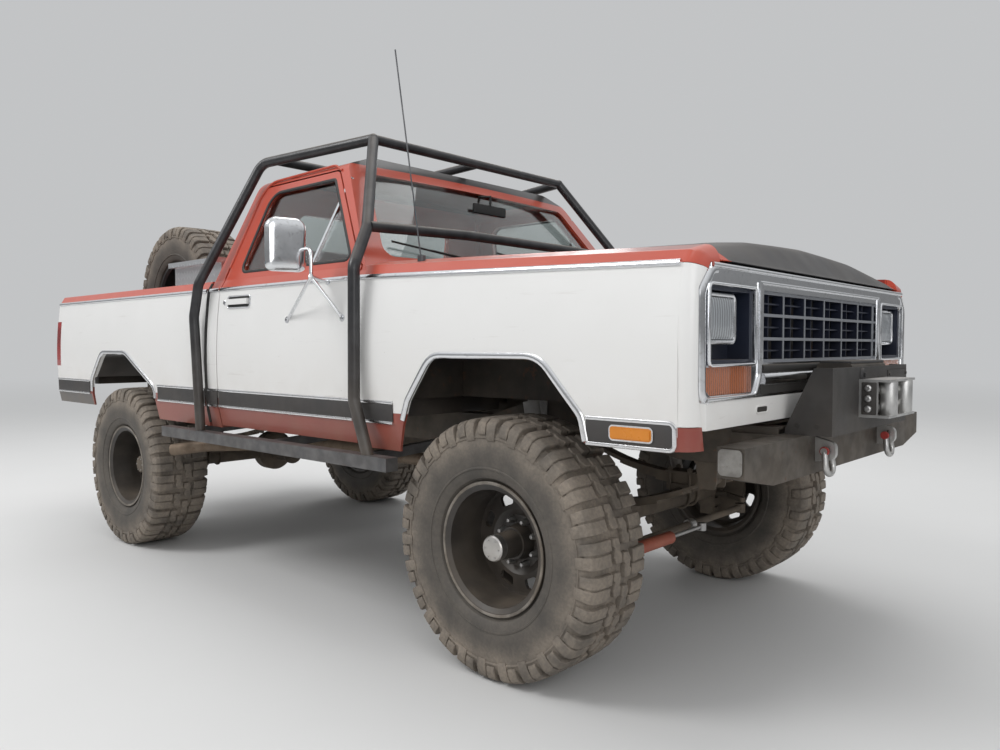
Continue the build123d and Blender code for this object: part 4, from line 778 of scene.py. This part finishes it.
# In x and z: two corners of the handle, the lock, the drip rail's line
HANDLE = (-1706, 1356, -1506, 1412)
LOCK = (-1736, 1384)
DRIP_LINE = [(-1786, 1560), (-1714, 1900, 60), (-1666, 1986, 120), (-1120, 1992, 60), (-1060, 1960)]
for side, sign in SIDES:
    door = f"door_{side}"
    seal, bar, edge, dark, rail = Shape(), Shape(), Shape(), Shape(), Shape()
    outward = Vector((0, sign, TUMBLE)).normalized()
    seal.strip(on_glass(rounded(DOOR_WINDOW), sign, 3), outward, 8, 6, closed=True)
    bar.strip(on_glass(spaced([(-1083, 1534), (-983, 1915)], 100), sign, 12), outward, 9, 9, FLAT_BAND)
    x0, z0, x1, z1 = HANDLE
    edge.strip(*on_side(panel(*HANDLE, 12), sign, 1), 4, 5, closed=True)
    line = [(x, (z0 + z1) / 2) for x in (x0 + 4, (x0 + x1) / 2, x1 - 4)]
    dark.strip(*on_side(line, sign), 24, 1.5, FLAT_BAND)
    edge.lathe([(-2, 13), (3, 13), (6, 10)], across(*LOCK, sign * side_y(*LOCK)), (0, sign, 0), 20)
    rail.tube(on_glass(rounded(DRIP_LINE, closed=False, step=24), sign, -2), 6, 8)
    piece(f"window_seal_{side}", "dash_plastic", seal, "seal", door)
    piece(f"vent_bar_{side}", "chrome", bar, body=door)
    piece(f"handle_frame_{side}", "chrome", edge, body=door)
    piece(f"handle_recess_{side}", "dash_plastic", dark, "seal", door)
    piece(f"drip_rail_{side}", "body_paint", rail, "red")

WIPER_FOOT_Z = 1512
WIPER_TIP_Z = 1592
WIPER_BLADE = ((200, 1564), (100, 1578), (0, WIPER_TIP_Z), (-100, 1606), (-190, 1618))
wipers, cowl_slots = Shape(), Shape()
for foot_y, tip_y in ((560, 40), (-60, -580)):
    foot = Vector((screen_x(foot_y, WIPER_FOOT_Z) + 12, foot_y, WIPER_FOOT_Z))
    tip = Vector((screen_x(tip_y, WIPER_TIP_Z) + 14, tip_y, WIPER_TIP_Z))
    wipers.lathe([(-12, 16), (6, 14), (10, 0)], foot, (0.6, 0, 0.8), 16)
    wipers.tube([foot, foot.lerp(tip, 0.5) + Vector((10, 0, 6)), tip], 4.5, 8)
    wipers.tube([(screen_x(tip_y + y, z) + 7, tip_y + y, z) for y, z in WIPER_BLADE], 5, 6)
for k in range(-11, 12):
    if abs(k) > 1:
        cowl_slots.box((-612, k * 30 - 9, 1494), (-580, k * 30 + 9, 1497.5), 1)
piece("wipers", "dash_plastic", wipers, "seal")
piece("cowl_slots", "dash_plastic", cowl_slots, "seal")


# Tyres: turned carcass, two rows of interlocking centre blocks, stepped shoulder lugs

LUG_COUNT = 26
CARCASS = [(117, 216), (117, 236), (121, 243), (130, 249), (134, 250), (138, 255), (144, 268), (148, 282),
           (151.5, 284), (151.5, 289), (149.5, 291), (152, 302), (154, 322), (155, 342), (154.5, 360),
           (153, 378), (151, 390), (154.5, 392), (155, 396), (152, 398), (148, 412), (140, 430), (128, 440),
           (100, 443), (60, 444), (0, 444.5)]
CENTRE_BLOCK = [(-44, 5), (-12, 5), (-4, 14), (22, 9), (40, 14), (42, 44), (18, 50), (8, 40), (-22, 46),
                (-44, 34)]
SHOULDER_PLANS = (
    # s from, s to, inner y, lowest radius on the wall
    (-46, -3, 62, 384), (3, 42, 56, 404),
)


def tread_point(side, s, y, r, turn):
    """A point of the tread: s round it from the turn, y out from its middle, r from the axle."""
    angle = side * s / TYRE_RADIUS + turn
    return Vector((r * math.sin(angle), side * y, r * math.cos(angle)))


def crown(y):
    """The tread's radius at y."""
    return TYRE_RADIUS - 4 * (abs(y) / 140) ** 3


def add_centre_block(tyre, side, turn):
    mid_s, mid_y = (sum(values) / len(values) for values in zip(*CENTRE_BLOCK))
    rings = []
    for inset, drop in ((0, 20), (0.5, 3), (3, 0)):
        ring = []
        for s, y in CENTRE_BLOCK:
            share = 1 - inset / math.hypot(s - mid_s, y - mid_y)
            s, y = mid_s + (s - mid_s) * share, mid_y + (y - mid_y) * share
            ring.append(tread_point(side, s, y, crown(y) - drop, turn))
        rings.append(ring)
    tyre.loft(rings, caps=(-1,))


def add_shoulder_lug(tyre, side, turn, s0, s1, inner, low):
    profile = [(inner, 440), (inner, crown(inner) - 3), (inner + 3, crown(inner)), (100, crown(100)),
               (128, crown(128)), (136, crown(136) - 2), (149, 447), (155, 430), (157, 415), (157, low + 4),
               (155, low), (148, low), (140, 420)]
    # The end rings are drawn in from the tread, points 1 to 8, and from the wall, points 7 to 11
    tyre.loft([[tread_point(side, s, y - 0.4 * inset * (6 < k < 12), r - inset * (0 < k < 9), turn)
                for k, (y, r) in enumerate(profile)]
               for s, inset in ((s0, 3), (s0 + 3, 0), ((s0 + s1) / 2, 0), (s1 - 3, 0), (s1, 3))])


def add_shoulder_bridge(tyre, side, turn):
    """The low web that joins the two halves of a shoulder lug at the bottom of its sipe."""
    profile = [(66, 440), (66, crown(66) - 7), (128, crown(128) - 7), (148, 440), (152, 420), (140, 420)]
    tyre.loft([[tread_point(side, s, y, r, turn) for y, r in profile] for s in (-4, 4)])


def tyre_data():
    """One tyre's mesh in metres about its own centre."""
    tyre = Shape()
    tyre.lathe([(-y, r) for y, r in CARCASS[:-1]] + CARCASS[::-1], (0, 0, 0), (0, 1, 0), 144, "ring")
    for i in range(LUG_COUNT):
        for side, start in ((1, 0.0), (-1, 0.5)):
            turn = (i + start) * 2 * math.pi / LUG_COUNT
            add_centre_block(tyre, side, turn)
            add_shoulder_bridge(tyre, side, turn)
            for plan in SHOULDER_PLANS:
                add_shoulder_lug(tyre, side, turn, *plan)
    for vertex in tyre.mesh.verts:
        vertex.co = vertex.co / 1000
    return finished("tyre", tyre, "tyre_rubber", 28)


def round_wheel(centre, radius, count, start=0.0):
    """Places round a wheel's centre."""
    x, y, z = centre
    angles = [(k + start) * 2 * math.pi / count for k in range(count)]
    return [(x + radius * math.cos(a), y, z + radius * math.sin(a)) for a in angles]


WHEELS = [(f"{end}_{side}", f"road_wheel_{end}_{side}", (x, sign * track / 2, AXLE_Z), sign)
          for end, x, track in (("front", 0, FRONT_TRACK), ("rear", -WHEELBASE, REAR_TRACK))
          for side, sign in SIDES]
SPARE = ("spare", "root", (-3035, -480, 1000 + TYRE_RADIUS))
tyre_mesh = tyre_data()
for number, (name, body, centre) in enumerate([*(wheel[:3] for wheel in WHEELS), SPARE]):
    tyre = placed(f"mud_tyre_{name}", tyre_mesh)
    tyre.location = metres(centre)
    tyre.rotation_euler = (0, number * math.pi / 2, 0)
    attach(tyre, body)
    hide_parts(f"tyre_{name}")

for name, body, centre, sign in WHEELS:
    nuts, lip, cap = Shape(), Shape(), Shape()
    out = (0, sign, 0)
    front = name.startswith("front")
    start, end, radius = (93, 126, 45) if front else (10, 48, 49)
    for spot in round_wheel(centre, 82.5, 8, 0.5):
        nuts.lathe([(-30, 14), (-20, 13), (-2, 10.5), (4, 7), (6, 0)], spot, out, 6)
    for spot in round_wheel(centre, radius - 12, 6):
        nuts.lathe([(end, 4), (end + 4, 3.6)], spot, out, 8)
    lip.lathe([(124, 226), (132, 227), (133.5, 231), (133.5, 236), (131, 238), (128, 236)], centre, out, 96,
              "ring")
    cap.lathe([(start, radius - 3), (start, radius + 1), (end - 6, radius + 1), (end - 1, radius - 3),
               (end + 1, radius - 10), (end + 1.5, 0)], centre, out, 40, "open")
    piece(f"wheel_nuts_{name}", "zinc", nuts, body=body)
    piece(f"rim_lip_{name}", "zinc", lip, "worn_lip", body)
    piece(f"hub_cap_{name}", "zinc" if front else "cast_metal", cap, "hub_alloy" if front else None, body)


# Hood: the CAD hood's lines with a soft crown where its flat faces would meet in a crease

HOOD_TIP_X = 804
HOOD_EDGE_Y = 840
HOOD_LOW_Z = 1420
HOOD_BACK_X = -560
HOOD_SIDE = rounded([(HOOD_BACK_X, 1566), (540, 1568, 400), (706, 1536, 90), (HOOD_TIP_X, HOOD_LOW_Z)],
                    closed=False)
HOOD_CROSS = rounded([(0, 1586), (450, 1542, 60), (560, 1518, 60), (HOOD_EDGE_Y, 1462)], closed=False)
HOOD_XS = [*range(HOOD_BACK_X, 441, 50), *range(500, 661, 20), *range(672, HOOD_TIP_X + 1, 6)]
HOOD_YS = range(-HOOD_EDGE_Y, HOOD_EDGE_Y + 1, 30)
HOOD_RIM = 14
HOOD_THICK = 22
HOOD_SOFT = 85


def hood_heights(x, y):
    """Heights of the hood's outside and inside at x and y."""
    along, side = value_at(HOOD_SIDE, x), value_at(HOOD_CROSS, abs(y))
    lowest = min(along, side)
    soft = HOOD_SOFT * min(max((x + 200) / 700, 0.001), 1)
    near = max(soft - abs(along - side), 0)
    outside = max(lowest - near * near / (4 * soft), HOOD_LOW_Z + 2.5)
    inside = min(lowest - HOOD_THICK, outside - 3)
    if x > HOOD_TIP_X - HOOD_THICK:
        inside = HOOD_LOW_Z
    return outside, max(inside, HOOD_LOW_Z + 1)


def hood_ring(x):
    """One cross-section of the hood: its outside, a rim, its inside, the other rim."""
    inner = 1 - HOOD_RIM / HOOD_EDGE_Y
    outside = [(x, y, hood_heights(x, y)[0]) for y in HOOD_YS]
    inside = [(x, y * inner, hood_heights(x, y)[1]) for y in HOOD_YS]
    rims = [[(x, sign * y, HOOD_LOW_Z) for y in (HOOD_EDGE_Y, HOOD_EDGE_Y - HOOD_RIM)] for sign in (1, -1)]
    return outside + rims[0] + inside[::-1] + rims[1][::-1]


hood = Shape()
hood_rings = hood.loft([hood_ring(x) for x in HOOD_XS], caps=())
for ring in (hood_rings[0], hood_rings[-1]):
    # Quads from the outside to the inside, and one at each rim
    for k in range(-1, len(HOOD_YS)):
        hood.mesh.faces.new([ring[k], ring[k + 1], ring[-4 - k], ring[-3 - k]])
piece("hood_skin", "hood_black", hood, body="hood_lid", replaces=("hood",))


# Mirrors: a shallow bright pan on a bent arm and its braces, turned a little towards the driver

MIRROR_CENTRE = (-948, 1160, 1585)
MIRROR_HALF = (83, 109)
MIRROR_TURN = math.radians(14)
MIRROR_PAN = (
    # depth, inset of the outline; from the glass side to the back
    (-17, 5), (-18, 2), (-16, 0), (2, 0), (9, 2), (14, 7), (17, 16), (19, 34), (20, 60),
)
MIRROR_ARM = ((-851, 1107, 1525), (-857, 1104, 1553), (-880, 1098, 1568), (-940, 1089, 1571))
MIRROR_FEET = ((-1187, 1000, 1288), (-788, 1000, 1287), (-905, 984, 1440))
for side, sign in SIDES:
    pan, glass, stay = Shape(), Shape(), Shape()
    on_door = {"body": f"door_{side}", "replaces": (f"mirror_{side}",)}
    x, y, z = MIRROR_CENTRE
    half_y, half_z = MIRROR_HALF
    head = Matrix.Translation((x, sign * y, z)) @ Matrix.Rotation(sign * MIRROR_TURN, 4, "Z")
    outline = panel(-half_y, -half_z, half_y, half_z, 30, 46, step=6)
    on_head = lambda u, v, w: head @ Vector((w, sign * u, v))
    pan.loft([[on_head(u, v, depth) for u, v in drawn_in(outline, (0, 0), MIRROR_HALF, inset)]
              for depth, inset in MIRROR_PAN])
    glass.prism([(u * 0.93, v * 0.945) for u, v in outline], on_head, -18.5, -16.5)
    joint = Vector((-851, sign * 1108, 1452))
    stay.tube([joint] + [(x, sign * y, z) for x, y, z in MIRROR_ARM], 8, 12)
    stay.lathe([(-13, 0), (-9, 9), (0, 12.5), (9, 9), (13, 0)], joint, (0, 0, 1), 20)
    for x, y, z in MIRROR_FEET:
        foot = Vector((x, sign * y, z))
        stay.tube([joint, foot], 7, 12)
        stay.lathe([(-2, 16), (4, 16), (5, 8), (10, 8), (11, 0)], foot, (0, sign, 0), 16)
    piece(f"mirror_shell_{side}", "chrome", pan, **on_door)
    piece(f"mirror_glass_{side}", "chrome", glass, "mirror", f"door_{side}")
    piece(f"mirror_stay_{side}", "chrome", stay, **on_door)


# Front corners of the fenders, rounded in to the chrome surround

NOSE_TIP_X = 797
NOSE_STEPS = 10
NOSE_ROWS = (
    # look, name, (y, z) at the fender's end, (y, z) at the surround; rows from low to high
    # The low row's darkened red is painted shade under the moulding.
    ("shaded_red", "nose_low", ((1003, 876), (935, 876)), ((1005, 944), (948, 944))),
    ("white", "nose_side", ((1005, 946), (952, 946)), ((1006, 1012), (966, 1012)),
     ((1006, 1060), (973, 1060)), ((1007, 1180), (973, 1180)), ((1001, 1300), (973, 1300)),
     ((995, 1340), (973, 1337)), ((986, 1407), (921, 1393))),
    ("red", "nose_top", ((986, 1409), (920, 1394)), ((958, 1446), (904, 1412)), ((930, 1453), (880, 1415)),
     ((850, 1471), (848, 1416))),
)


def nose_row(sign, start, end):
    """One row of a rounded corner, from the fender's end to the surround and back to a flat web."""
    (y0, z0), (y1, z1) = start, end
    points = []
    for k in range(NOSE_STEPS + 1):
        turn = math.pi / 2 * k / NOSE_STEPS
        share = 1 - math.cos(turn)
        x = FENDER_FRONT_X + (NOSE_TIP_X - FENDER_FRONT_X) * math.sin(turn)
        points.append((x, sign * (y0 + (y1 - y0) * share), z0 + (z1 - z0) * share))
    return points + [(FENDER_FRONT_X, sign * y1, z1)]


for side, sign in SIDES:
    for look, name, *rows in NOSE_ROWS:
        corner = Shape()
        corner.loft([nose_row(sign, *row) for row in rows])
        piece(f"{name}_{side}", "body_paint", corner, look)


# Chrome beads of the surround, the bars under the grille, lamp bezels and glasses

LAMP_X = 764
for side, sign in SIDES:
    beads, bezel, glass = Shape(), Shape(), Shape()
    beads.strip(on_face(panel(612, 1117, 918, 1352, 14, step=14), sign), AHEAD, 5, 7, closed=True)
    divider = rounded([(584, 1372), (584, 1080, 30), (618, 1020, 26), (936, 1020)], closed=False, step=14)
    beads.strip(on_face(divider, sign), AHEAD, 7, 9)
    edge = rounded([(912, 1016), (944, 1034, 30), (949, 1328, 40), (892, 1392, 30), (864, 1394)],
                   closed=False, step=14)
    beads.strip(on_face(edge, sign, FACE_X - 18), AHEAD, 21, 20)
    bezel.strip(on_face(panel(690, 1184, 890, 1326, 18), sign, LAMP_X), AHEAD, 7, 8, closed=True)
    inner = panel(696, 1190, 884, 1320, 14)
    glass.loft([on_face(drawn_in(inner, (790, 1255), (94, 65), inset), sign, LAMP_X + rise)
                for rise, inset in ((-6, 0), (3, 3), (7, 14), (10, 40))])
    piece(f"surround_beads_{side}", "chrome", beads)
    piece(f"headlamp_bezel_{side}", "chrome", bezel)
    piece(f"headlamp_glass_{side}", "lamp_clear", glass, "fluted")

# The low black band under the chrome sill fills the dark gap above the valance: painted shade.
rails, sill_and_gap_shade = Shape(), Shape()
for shape, half, z, *section in ((rails, 900, 1406, 8, 7), (rails, 584, 1372, 6, 5),
                                 (rails, 560, 1068, 19, 12), (sill_and_gap_shade, 566, 1102, 12, 8),
                                 (sill_and_gap_shade, 572, 1037, 16, 2, FLAT_BAND)):
    shape.strip(on_face([(-half, z), (half, z)]), AHEAD, *section)
piece("surround_rails", "chrome", rails)
piece("grille_sill_and_gap_shade", "grille_plastic", sill_and_gap_shade, "seal")


# Bumper ends, shackle pins, winch, fairlead and valance slots

control, cover, rope = Shape(), Shape(), Shape()
control.box((836, -176, 1112), (946, 176, 1122), 5)
control.box((952, -60, 1046), (957, 60, 1100), 4)
control.lathe([(0, 26), (16, 24), (20, 20)], (950, -120, 1074), AHEAD, 28)
control.box((970, -124, 1066), (976, -116, 1082), 1)
cover.box((962.5, 160, 915), (966, 392, 1086), 3)
for y in (176, 376):
    for z in (930, 1000, 1070):
        cover.lathe([(0, 7), (4, 6), (5, 0)], (966, y, z), AHEAD, 12)
rope.lathe([(5 * k, 42.5 if k % 2 else 38) for k in range(-28, 29)], (897, 0, 965), (0, 1, 0), 32)
piece("winch_control", "cast_metal", control, "band")
piece("winch_cover", "winch_plate", cover)
piece("winch_rope", "zinc", rope)

caps, pins, rollers, bolts, cheeks, slots, slot_rims = (Shape() for _ in range(7))
for _, sign in SIDES:
    out = (0, sign, 0)
    caps.prism(panel(806, 800, 880, 877, 14, step=6), across, sign * 861.5, sign * 867)
    for y in (282, 352):
        pins.lathe([(0, 15), (6, 16), (10, 15)], (921, sign * y, 828), (0, 1, 0), 20)
    rollers.lathe([(-58, 26), (-54, 28.5), (54, 28.5), (58, 26)], (1040, sign * 86, 995), (0, 0, 1), 36)
    for z in (958, 995, 1032):
        bolts.lathe([(0, 11), (5, 10), (8, 6)], (971, sign * 136, z), AHEAD, 16)
    for z in (960, 995, 1030):
        bolts.lathe([(0, 12), (6, 11), (9, 7)], (994, sign * 153, z), out, 16)
    for x in (850, 915):
        slots.lathe([(0, 9), (1.5, 8)], (x, sign * 400, 912), out, 16)
    cheeks.box((972, sign * 149.5, 940), (1020, sign * 153, 1050), 3)
    slot = panel(sign * 560 - 42, 962, sign * 560 + 42, 984, 10, step=4)
    slots.prism(slot, lambda u, v, w: (w, u, v), FACE_X - 1, FACE_X + 0.5)
    slot_rims.strip(on_face(slot), AHEAD, 3, 3, closed=True)
# The end caps' darkened metal is painted shade.
piece("bumper_end_caps", "worn_steel", caps, "shaded_end")
piece("shackle_pins", "zinc", pins, "pin_red")
piece("fairlead_rollers", "zinc", rollers)
piece("winch_bolts", "zinc", bolts)
piece("fairlead_cheeks", "winch_plate", cheeks)
piece("front_slots", "winch_plate", slots, "seal")
piece("valance_slot_rims", "body_paint", slot_rims, "white")


# Seat: padded cushion and back with sewn channels, and its base

PAD_HALF = 636
PAD_CUTS = 96
PAD_CHANNELS = 8
PAD_EDGE = 40
PAD_CROWN = 14
PAD_SEAM = 7
CUSHION = [(-1750, 1044, 12), (-1244, 1044, 26), (-1244, 1204, 58), (-1750, 1178, 20)]
BACKREST = [(-1786, 1095, 20), (-1616, 1095, 24), (-1704, 1684, 38), (-1786, 1684, 38)]
for name, corners in (("seat_cushion", CUSHION), ("seat_back", BACKREST)):
    outline = [Vector(point) for point in rounded(corners, step=10)]
    middle = sum(outline, Vector((0, 0))) / len(outline)
    rings = []
    for k in range(PAD_CUTS + 1):
        share = k / PAD_CUTS
        y = PAD_HALF * (2 * share - 1)
        edge = 1 - min(1, (PAD_HALF - abs(y)) / PAD_EDGE)
        seam = abs(math.sin(math.pi * PAD_CHANNELS * share))
        swell = -PAD_CROWN * edge ** 2 - PAD_SEAM * (1 - min(1.0, seam * 4)) ** 2
        rings.append([across(*(point + (point - middle).normalized() * swell), y) for point in outline])
    shape = Shape()
    shape.loft(rings)
    made = piece(name, "vinyl", shape, angle=50, replaces=("bench_seat",))
base = Shape()
base.box((-1726, -556, 911), (-1304, 556, 1042), 6)
piece("seat_base", "dash_plastic", base)


# Cab fittings: door trims and cranks, shift levers, inside mirror and dials

DOOR_CARD = panel(-1764, 950, -860, 1430, 30, 40, step=14)
ARM_REST = rounded([(-1520, 1150, 18), (-1180, 1150, 18), (-1180, 1212, 24), (-1520, 1200, 24)], step=8)
for side, sign in SIDES:
    trim, crank = Shape(), Shape()
    inward = Vector((0, -sign, 0))
    trim.prism(DOOR_CARD, across, sign * 921, sign * 925.6)
    trim.prism(ARM_REST, across, sign * 866, sign * 922)
    hub = Vector((-1090, sign * 921, 1130))
    knob = hub + inward * 16 + Vector((-60, 0, 92))
    crank.lathe([(0, 24), (8, 22), (12, 14)], hub, inward, 24)
    crank.tube([hub + inward * 10, knob], 6, 8)
    crank.lathe([(0, 11), (22, 10), (26, 5)], knob, inward, 16)
    crank.box((-1020, sign * 920 - 9, 1318), (-910, sign * 920 + 9, 1342), 6)
    piece(f"door_trim_{side}", "vinyl", trim, body=f"door_{side}")
    piece(f"door_crank_{side}", "chrome", crank, body=f"door_{side}")

levers, inside_mirror, dials = Shape(), Shape(), Shape()
for foot, top in (((-985, -40, 1076), (-1105, -28, 1392)), ((-1050, -130, 1076), (-1120, -122, 1268))):
    foot, top = Vector(foot), Vector(top)
    bend = foot.lerp(top, 0.6) + Vector((24, 0, 10))
    levers.tube([foot, bend, top], 8, 10)
    levers.lathe([(-6, 10), (2, 20), (16, 23), (28, 18), (34, 8), (35, 0)], top, top - bend, 24)
    levers.lathe([(-2, 46), (4, 44), (26, 14), (30, 0)], foot, (0, 0, 1), 24)
inside_mirror.box((-905, -118, 1838), (-890, 118, 1886), 6)
inside_mirror.tube([(-892, 0, 1880), (-890, 0, 1930), (screen_x(0, 1940, 22), 0, 1940)], 6, 8)
for y, r in ((290, 44), (420, 44), (530, 26)):
    dials.lathe([(-4, r), (5, r), (5, r - 6), (1, r - 8)], (-900, y, 1352), (-0.86, 0, 0.5), 32)
piece("shift_levers", "dash_plastic", levers, "band")
piece("inside_mirror", "dash_plastic", inside_mirror, "seal")
piece("dash_dials", "dash_plastic", dials, "seal")


# Fuel filler door on the left bed side, and a black tube in the gap between cab and bed, painted shade

filler_edge, filler_latch = Shape(), Shape()
filler_edge.strip(*on_side(panel(-2232, 1150, -2092, 1300, 22), 1), 2.5, 1.2, FLAT_BAND, closed=True)
filler_latch.strip(*on_side([(x, 1225) for x in (-2226, -2214, -2202)], 1), 12, 3, FLAT_BAND)
piece("filler_door_edge", "dash_plastic", filler_edge, "seal")
piece("filler_door_latch", "chrome", filler_latch)

GAP_X = (BED_FRONT_X + CAB_BACK_X) / 2
GAP_HEIGHTS = (790, 850, 915, 960, 1100, 1250, 1400, 1448, 1485)
for side, sign in SIDES:
    # Painted shade: a black tube fills the gap between cab and bed.
    strip = Shape()
    path, _ = on_side([(GAP_X, z) for z in GAP_HEIGHTS], sign, -4)
    strip.tube(path, 11.5, 10)
    piece(f"gap_shade_{side}", "dash_plastic", strip, "seal")


# Bed: floor ribs, rail plugs, tailgate fittings, tail-lamp bezels

ribs, plugs, gate_bright, gate_inner = Shape(), Shape(), Shape(), Shape()
for k in range(-7, 8):
    ribs.box((-3860, k * 85 - 24, 999.5), (-1960, k * 85 + 24, 1005), 2)
for k in range(-3, 4):
    gate_inner.box((BED_TAIL_X + 54.6, k * 190 - 60, 1040), (BED_TAIL_X + 59, k * 190 + 60, 1450), 3)
border = on_face(panel(-648, 1088, 648, 1374, 16, step=10), x=BED_TAIL_X)
grip = on_face([(y, 1432) for y in (-110, -100, 100, 110)], x=BED_TAIL_X)
gate_bright.strip(border, -AHEAD, 6, 4, closed=True)
gate_bright.strip(grip, -AHEAD, 20, 4, FLAT_BAND)
gate_bright.tube(on_face([(-84, 1426), (84, 1426)], x=BED_TAIL_X - 3), 4.5, 8)
for side, sign in SIDES:
    for x in (-2010, -2760, -3520, -3870):
        plugs.box((x - 26, sign * 905, 1497), (x + 26, sign * 945, 1500), 3)
    bezel = Shape()
    ring = rounded([(900, 1048, 6), (984, 1048, 6), (990, 1328, 6), (900, 1328, 6)], step=8)
    bezel.strip(on_face(ring, sign, BED_TAIL_X - 6), -AHEAD, 5, 2, closed=True)
    bezel.strip(on_face([(902, 1130), (984, 1130)], sign, BED_TAIL_X - 6), -AHEAD, 3, 2)
    piece(f"tail_lamp_bezel_{side}", "chrome", bezel)
# The ribs take the darkened red, painted shade on the bed floor.
piece("bed_floor_ribs", "body_paint", ribs, "shaded_red")
piece("rail_plugs", "dash_plastic", plugs, "seal")
piece("gate_bright", "chrome", gate_bright, body="tailgate")
piece("gate_inner_ribs", "body_paint", gate_inner, "red", "tailgate")


# Axle U-bolts and the steering damper

U_BOLT = 52
U_BOLTS = (
    # axle x, spring y, top of the leaves
    (0, 392, 574), (-WHEELBASE, 452, 614),
)
clamps = Shape()
for axle_x, spring_y, top in U_BOLTS:
    for _, sign in SIDES:
        y = sign * spring_y
        clamps.box((axle_x - 74, y - 48, top), (axle_x + 74, y + 48, top + 11), 3)
        for y in (y - 39, y + 39):
            angles = [math.pi * k / 8 for k in range(9)]
            loop = [(axle_x + U_BOLT * math.cos(a), y, AXLE_Z - U_BOLT * math.sin(a)) for a in angles]
            clamps.tube([(axle_x + U_BOLT, y, top + 30), *loop, (axle_x - U_BOLT, y, top + 30)], 6.5, 8)
            for x in (axle_x + U_BOLT, axle_x - U_BOLT):
                clamps.lathe([(0, 13), (13, 13)], (x, y, top + 11), (0, 0, 1), 6)
piece("spring_u_bolts", "cast_metal", clamps)

DAMPER_X = 246
DAMPER_Z = 401
damper, ram = Shape(), Shape()
damper.lathe([(-150, 20), (-144, 25), (120, 25), (126, 20)], (DAMPER_X, -280, DAMPER_Z), (0, 1, 0), 28)
damper.tube([(DAMPER_X, -428, DAMPER_Z), (DAMPER_X, -452, DAMPER_Z)], 14, 12)
damper.tube([(DAMPER_X, -446, DAMPER_Z), (60, -446, 500)], 11, 10)
ram.tube([(DAMPER_X, -310, DAMPER_Z), (DAMPER_X, 96, DAMPER_Z)], 8, 14)
ram.lathe([(-16, 19), (16, 19)], (DAMPER_X, 104, DAMPER_Z), (0, 0, 1), 20)
ram.box((172, 92, 382), (DAMPER_X, 116, 392), 3)
ram.lathe([(-20, 23), (20, 23)], (190, 104, DAMPER_Z), (0, 1, 0), 24)
piece("steering_damper", "cast_metal", damper, "damper_red")
piece("damper_rod", "zinc", ram, body="steer_rod")


# Stage, light and camera; from here on places are in metres

BACKDROP = 0.56
BACKDROP_TINT = (0.97, 0.985, 1.0)
LIGHT_AIM = Vector((1.0, 0.0, 0.9))
LIGHTS = (
    # name, place, size, power
    ("key", (-3.5, -6.5, 7.5), 4.0, 390), ("fill", (7.5, -4.5, 3.5), 5.0, 130),
    ("top", (0.5, 1.0, 8.0), 6.0, 160), ("back", (-5.0, 6.0, 5.0), 4.0, 120),
)

floor_mesh = bpy.data.meshes.new("floor")
floor_mesh.from_pydata([(-60, -60, 0), (60, -60, 0), (60, 60, 0), (-60, 60, 0)], [], [(0, 1, 2, 3)])
floor = placed("floor", floor_mesh)
ground = Look("floor", 0.0, 0.85)
ground.put("Base Color", ground.mix(ground.noise(1.5, 3), (0.62, 0.618, 0.612), (0.64, 0.638, 0.632)))
ground.put("Specular IOR Level", 0.2)

# Far from the object the floor fades into the backdrop, so that no horizon shows
distance = ground.add("ShaderNodeVectorMath", operation="LENGTH")
ground.feed(distance.inputs[0], ground.place)
glow = ground.add("ShaderNodeEmission")
ground.feed(glow.inputs["Color"], BACKDROP_TINT)
ground.feed(glow.inputs["Strength"], BACKDROP)
fade = ground.add("ShaderNodeMixShader")
share = ground.step(distance.outputs["Value"], 7.0, 30.0)
for socket, value in zip(fade.inputs, (share, ground.shader.outputs["BSDF"], glow.outputs["Emission"])):
    ground.feed(socket, value)
output = next(node for node in ground.tree.nodes if node.type == "OUTPUT_MATERIAL")
ground.feed(output.inputs["Surface"], fade.outputs["Shader"])
floor_mesh.materials.append(ground.material)

world = bpy.data.worlds.new("studio")
world.use_nodes = True
scene.world = world
sky = Nodes(world.node_tree)
background = sky.tree.nodes["Background"]
up = sky.split(sky.add("ShaderNodeTexCoord").outputs["Generated"])["Z"]
seen = sky.add("ShaderNodeLightPath").outputs["Is Camera Ray"]
sky.feed(background.inputs["Strength"], sky.blend(seen, sky.step(up, 0.02, 0.45, 0.20, 0.80), BACKDROP))
sky.feed(background.inputs["Color"], BACKDROP_TINT)

for name, place, size, power in LIGHTS:
    light = bpy.data.lights.new(name, "AREA")
    light.shape = "DISK"
    light.size = size
    light.energy = power
    holder = placed(name, light)
    holder.location = place
    holder.rotation_euler = (LIGHT_AIM - Vector(place)).to_track_quat("-Z", "Y").to_euler()

camera = bpy.data.cameras.new("camera")
camera.sensor_width = 36
camera.lens = 28.63
camera.clip_end = 200
camera_object = placed("camera", camera)
camera_object.location = (3.3045, -2.9853, 1.1737)
camera_object.rotation_euler = Vector((-0.670, 0.7415, -0.0366)).to_track_quat("-Z", "Y").to_euler()
scene.camera = camera_object
scene.view_settings.view_transform = "Standard"
